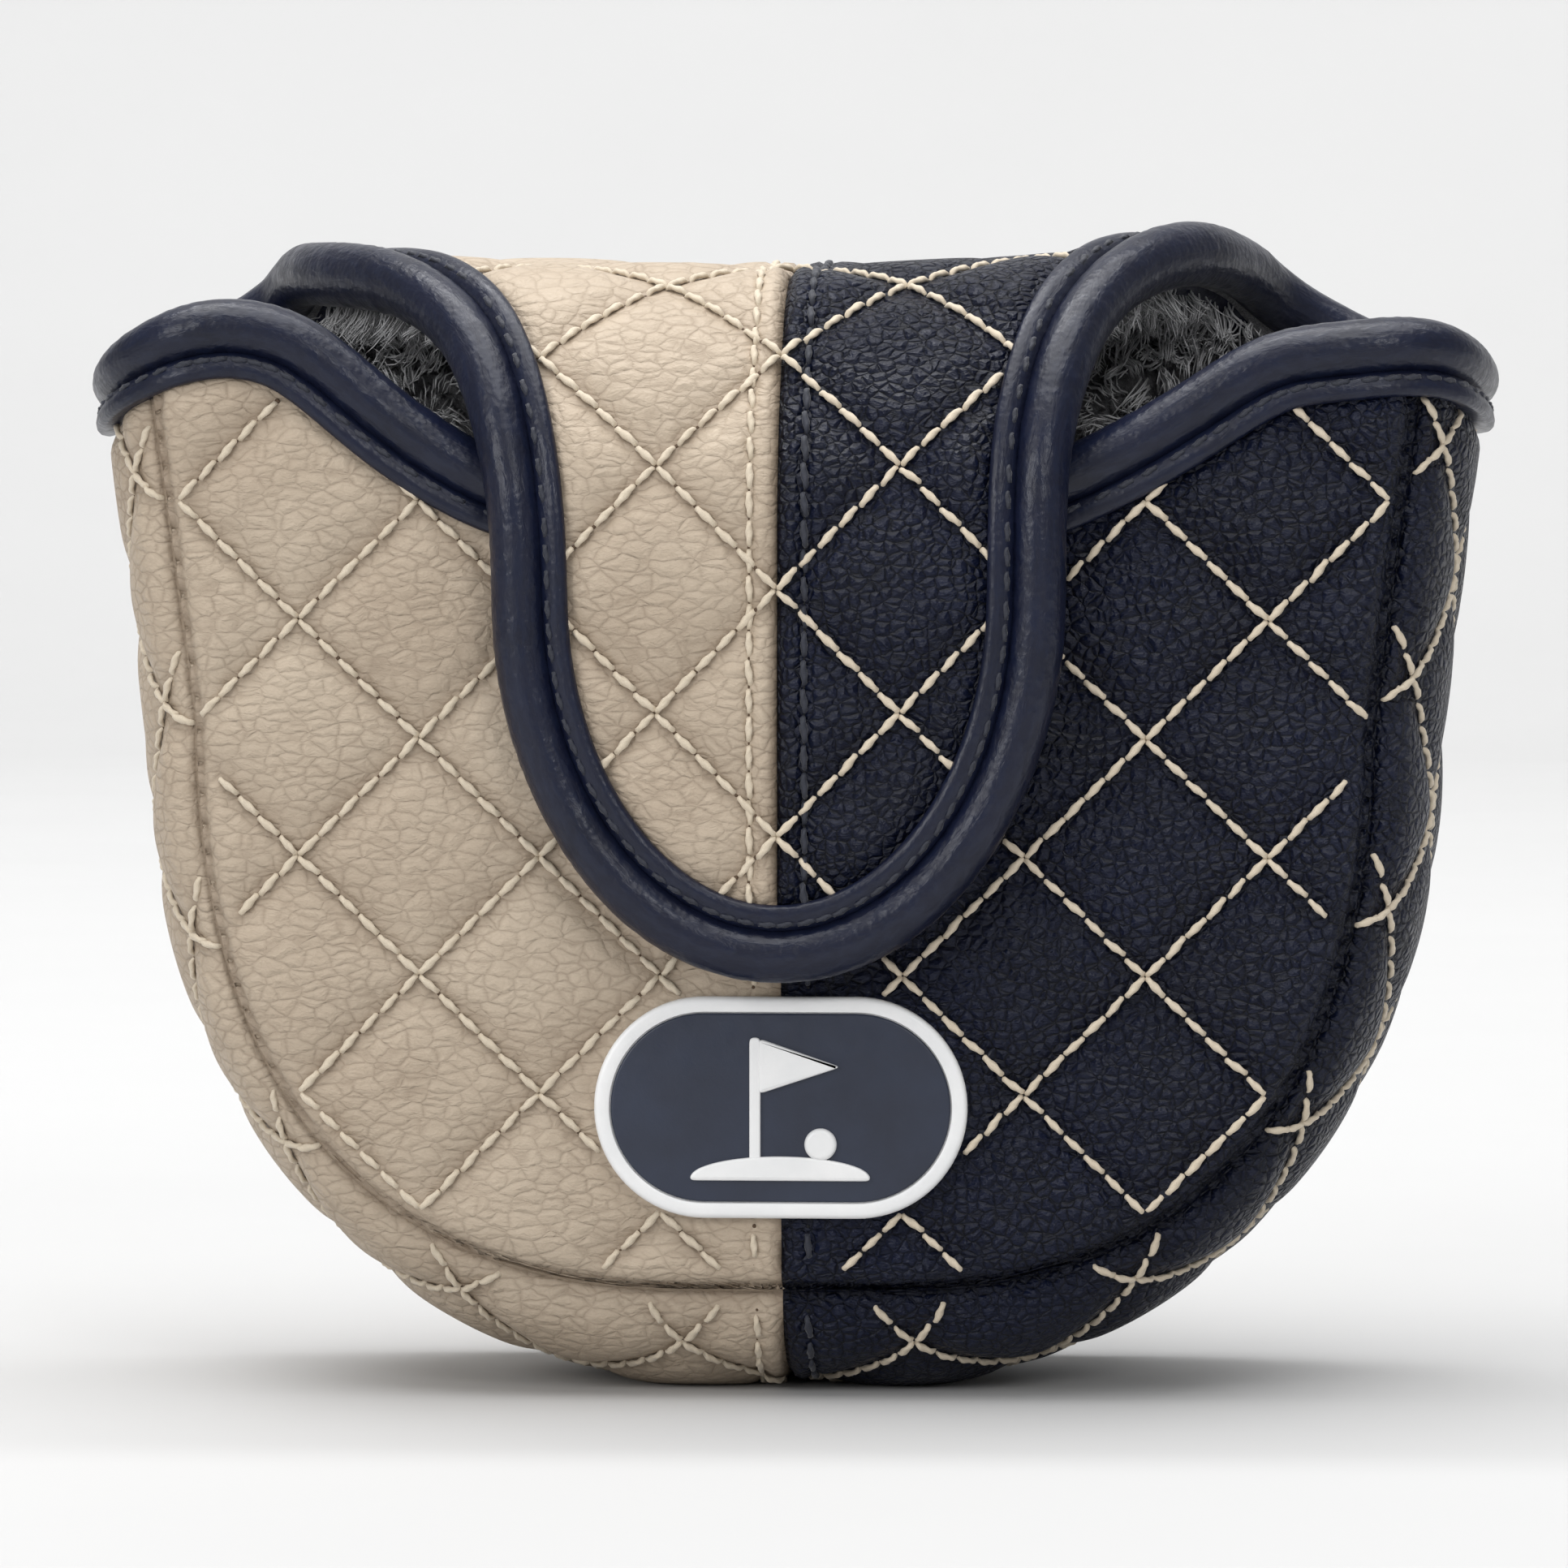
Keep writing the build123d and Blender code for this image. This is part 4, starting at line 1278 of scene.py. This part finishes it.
def strands(name, kind, a, b, length, thick=0.15):
    """Pile on the inside of a wall: fine wavy strands whose tips draw together in small tufts."""
    base, normal = frame_at(kind, a, b)
    count = len(a)
    root = base - normal * (LINING[1] - 0.25)
    cell_a, cell_b = np.round(a / TUFT), np.round(b / TUFT)
    swirl = cell_a * 12.9898 + cell_b * 78.233
    centre_a = (cell_a + 0.35 * np.sin(swirl)) * TUFT
    centre_b = (cell_b + 0.35 * np.cos(swirl * 1.7)) * TUFT
    surface = SURFACES[kind][0]
    along_a = surface(a + 0.5, b) - surface(a - 0.5, b)
    along_b = surface(a, b + 0.5) - surface(a, b - 0.5)
    pull = along_a * ((centre_a - a) * 0.55)[:, None] + along_b * ((centre_b - b) * 0.55)[:, None]
    curl = along_a * (2.1 * np.sin(swirl * 2.3))[:, None]
    curl = curl + along_b * (2.1 * np.cos(swirl * 3.1) - 0.2)[:, None]
    wave = along_a * np.cos(swirl * 5.1)[:, None] + along_b * np.sin(swirl * 5.1)[:, None]
    phase = swirl * 0.9 + draw.uniform(-0.5, 0.5, count)
    size = length * draw.uniform(0.75, 1.1, count) * (1 + 0.18 * np.sin(swirl * 0.7))
    lean = -normal + draw.normal(0, 0.10, (count, 3))
    levels = np.array([0.0, 0.28, 0.54, 0.79])
    round_lean = ring_directions(lean, np.radians([0, 120, 240]))

    def at(s):
        swing = 0.5 * s * np.sin(phase + 8.5 * s)
        rise = lean * (size * s * (1 - 0.25 * s))[:, None]
        return root + rise + pull * s + curl * s * s + wave * swing[:, None]

    rings = [at(s)[:, None] + thick * (1 - 0.5 * s) * round_lean for s in levels]
    points = np.concatenate([*rings, at(1.0)[:, None]], 1)
    k = np.arange(3)
    quads = [np.column_stack([k + r, (k + 1) % 3 + r, (k + 1) % 3 + r + 3, k + r + 3]) for r in (0, 3, 6)]
    tips = np.column_stack([k + 9, (k + 1) % 3 + 9, np.full(3, 12)])
    start = (np.arange(count) * 13)[:, None, None]
    faces = (np.vstack(quads)[None] + start).reshape(-1, 4).tolist()
    faces += (tips[None] + start).reshape(-1, 3).tolist()
    faces += (np.array([[2, 1, 0]])[None] + start).reshape(-1, 3).tolist()
    obj = new_object(name, points.reshape(-1, 3), faces, PILE)
    mark(obj, "tip", np.tile(np.concatenate([np.repeat(levels, 3), [1.0]]), count))
    mark(obj, "shade", np.repeat(np.clip(0.5 + 0.3 * np.sin(swirl) + draw.normal(0, 0.2, count), 0, 1), 13))
    return obj


def scatter(count, low_a, high_a, low_b, high_b):
    return draw.uniform(low_a, high_a, count), draw.uniform(low_b, high_b, count)


PILE_LENGTH = 5.2
x, z = scatter(13500, -62, 62, 78, 104)
ok = (z < rim_height(x) - 5.6) & (np.abs(x) < seam_half(z) * 0.93)
keep(strands("front_pile", "front", x[ok], z[ok], PILE_LENGTH), "cover", slot="plush")

a, b = scatter(26000, -crest_length, crest_length, 4.0, GUSSET_WIDTH - 4.0)
spot = gusset_base(a, b)
rim = rim_at(spot[:, 1], 1, 52)
ok = (spot[:, 2] > 82) & (spot[:, 2] < rim - 5.8)
keep(strands("gusset_pile", "gusset", a[ok], b[ok], PILE_LENGTH), "cover", slot="plush")

for name, low, high, amount, bend in (
    ("back", -24.0, REAR_SPLIT - 0.3, 9800, BACK_BEND),
    ("crown", REAR_SPLIT + 0.3, FRONT_SPLIT - 0.3, 9000, CROWN_BEND),
    ("tongue", FRONT_SPLIT + 0.3, TIP - 6.0, 8000, TONGUE_BEND),
):
    a, b = scatter(amount, -62, 62, low, high)
    ok = np.abs(a) < sheet_half(a, b, 6.0) * np.where(b < 0, 0.93, 1.0)
    ok &= (b < OVAL_START) | (np.abs(a) < flap_half(a, b, 6.0))
    tall = PILE_LENGTH * (0.45 if name == "tongue" else 1.0)
    keep(strands(f"{name}_pile", "sheet", a[ok], b[ok], tall), bend=bend, slot="plush")


# ---------------------------------------------------------------- badge
def stadium(inset, y):
    """The badge's outline, moved inwards."""
    turn = np.linspace(-math.pi / 2, math.pi / 2, 40)
    r = max(BADGE_RADIUS - inset, 0.05)
    right = np.column_stack([BADGE_CORE + r * np.cos(turn), r * np.sin(turn)])
    left = -right
    ring = np.vstack([right, left])
    return np.column_stack([ring[:, 0], np.full(len(ring), y), ring[:, 1] + BADGE_MIDDLE])


def rounded_profile(back, front, edge, outer=0.0):
    """Insets and depths of a side wall with a rounded front edge."""
    profile = [(outer, back)]
    for t in np.linspace(0, math.pi / 2, 7):
        profile.append((outer + edge * (1 - math.cos(t)), front + edge * (1 - math.sin(t))))
    return profile


emblem_low, emblem_high = box_mm("badge_emblem")
rim_inset = box_mm("badge_field")[0][0] - BADGE_LOW[0]
PLATE_FRONT = FRONT_FACE - 1.7
base_profile = rounded_profile(FRONT_FACE + 0.3, PLATE_FRONT, 0.55)
base_profile += [
    (rim_inset - 0.45, PLATE_FRONT), (rim_inset - 0.12, PLATE_FRONT + 0.12), (rim_inset, PLATE_FRONT + 0.5)
]
keep(
    sharpen(tube("badge_white_plate", [stadium(i, y) for i, y in base_profile], WHITE), 40), "cover",
    slot="badge_white", stands_for=["badge_base"],
)
field_profile = rounded_profile(FRONT_FACE - 0.9, FRONT_FACE - 1.55, 0.25, rim_inset + 0.05)
keep(
    sharpen(tube("badge_navy_plate", [stadium(i, y) for i, y in field_profile], FIELD), 40), "cover",
    slot="badge_navy", stands_for=["badge_field"],
)


def raised(name, outline, front, edge):
    """A small raised shape on the badge, its front edge rounded."""
    ahead = unit(np.roll(outline, -1, 0) - outline)
    behind = unit(outline - np.roll(outline, 1, 0))
    after = np.roll(outline, -1, 0)
    area = (outline[:, 0] * after[:, 1] - outline[:, 1] * after[:, 0]).sum()
    along = unit(ahead + behind)
    inward = np.column_stack([-along[:, 1], along[:, 0]]) * np.sign(area)
    rings = []
    for inset, y in rounded_profile(FRONT_FACE - 1.4, front, edge):
        ring = outline + inward * inset
        rings.append(np.column_stack([ring[:, 0], np.full(len(ring), y), ring[:, 1]]))
    return keep(sharpen(tube(name, rings, WHITE), 40), "cover", slot="badge_white")


def rounded_outline(corners):
    """A closed outline of straight sides, with softened corners."""
    corners = np.array(corners)
    return soften_loop(resample(np.vstack([corners, corners[:1]]), 0.12)[:-1], 3)


EMBLEM_FRONT = FRONT_FACE - 2.15
base_z = emblem_low[2]
top_z = emblem_high[2]
pole_x = -2.5
pole = rounded_outline([
    (pole_x - 0.55, base_z + 0.4), (pole_x + 0.55, base_z + 0.4), (pole_x + 0.55, top_z), (pole_x - 0.55, top_z)
])
pennant = rounded_outline([(pole_x + 0.4, top_z - 5.6), (pole_x + 8.5, top_z - 2.9), (pole_x + 0.4, top_z - 0.1)])
mound_turn = np.linspace(0, math.pi, 60)
mound = np.column_stack([9.0 * np.cos(mound_turn), base_z + 2.2 * np.sin(mound_turn)])
mound = rounded_outline(np.vstack([mound, [(-9.0, base_z - 0.2), (9.0, base_z - 0.2)]]))
ball_turn = np.linspace(0, 2 * math.pi, 60, endpoint=False)
ball = np.column_stack([4.0 + 1.6 * np.cos(ball_turn), base_z + 3.4 + 1.6 * np.sin(ball_turn)])
emblem_pole = raised("badge_emblem_pole", pole, EMBLEM_FRONT + 0.15, 0.2)
raised("badge_emblem_pennant", pennant, EMBLEM_FRONT, 0.25)
raised("badge_emblem_mound", mound, EMBLEM_FRONT, 0.25)
raised("badge_emblem_ball", ball, EMBLEM_FRONT - 0.1, 0.5)
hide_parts("badge_emblem")

for node in ("front_magnet", "tongue_magnet"):
    cad = frame["nodes"][node]
    cad.data.materials.clear()
    cad.data.materials.append(STEEL)


# ---------------------------------------------------------------- floor, light and camera
def backdrop():
    """A pale floor that turns up into a wall behind."""
    turn = np.linspace(0, math.pi / 2, 24)
    line = np.vstack([
        [(-2600, -0.05), (-900, -0.05), (0, -0.05), (900, -0.05)],
        np.column_stack([1300 + 700 * np.sin(turn), 700 - 0.05 - 700 * np.cos(turn)]),
        [(2000, 2600)],
    ])
    across = np.linspace(-3200, 3200, 9)
    rows = np.array([[(x, *point) for point in line] for x in across])
    obj = new_object("studio_floor", rows.reshape(-1, 3), grid_faces(len(across), len(line)).tolist(), PAPER)


def area_light(name, place, size, power, target=(0, 0, 60)):
    """A square lamp at a place in millimetres, turned to its target."""
    data = bpy.data.lights.new(name, "AREA")
    data.shape = "RECTANGLE"
    data.size, data.size_y = (v * MM for v in size)
    data.energy = power
    obj = bpy.data.objects.new(name, data)
    bpy.context.scene.collection.objects.link(obj)
    obj.location = Vector(place) * MM
    obj.rotation_euler = (Vector(target) - Vector(place)).to_track_quat("-Z", "Y").to_euler()


backdrop()
area_light("top_light", (-100, -150, 1400), (1700, 1300), 24)
area_light("front_light", (-1050, -1250, 680), (800, 800), 10.5)
area_light("right_light", (620, -1450, 820), (420, 420), 5.0)
area_light("wall_light", (0, 700, 1900), (2600, 600), 40, (0, 2000, 500))
world = bpy.data.worlds.new("studio")
bpy.context.scene.world = world
world.use_nodes = True
sky = world.node_tree.nodes["Background"]
sky.inputs["Color"].default_value = (1, 1, 1, 1)
sky.inputs["Strength"].default_value = 0.32
bpy.context.scene.view_settings.view_transform = "Standard"

CAMERA_AZIMUTH = math.radians(3.5)
CAMERA_RISE = math.radians(3.0)
CAMERA_AWAY = 900.0
CAMERA_TARGET = (-1.0, 0.0, 60.5)
CAMERA_WIDTH = 158.7
camera_data = bpy.data.cameras.new("camera")
camera_data.sensor_width = 36.0
camera_data.lens = 36.0 * CAMERA_AWAY / CAMERA_WIDTH
camera_data.clip_end = 20.0
camera = bpy.data.objects.new("camera", camera_data)
bpy.context.scene.collection.objects.link(camera)
level = math.cos(CAMERA_RISE)
way = np.array([math.sin(CAMERA_AZIMUTH) * level, -math.cos(CAMERA_AZIMUTH) * level, math.sin(CAMERA_RISE)])
camera.location = tuple((np.array(CAMERA_TARGET) + CAMERA_AWAY * way) * MM)
camera.rotation_euler = (math.pi / 2 - CAMERA_RISE, 0, CAMERA_AZIMUTH)
bpy.context.scene.camera = camera

bpy.context.view_layer.update()
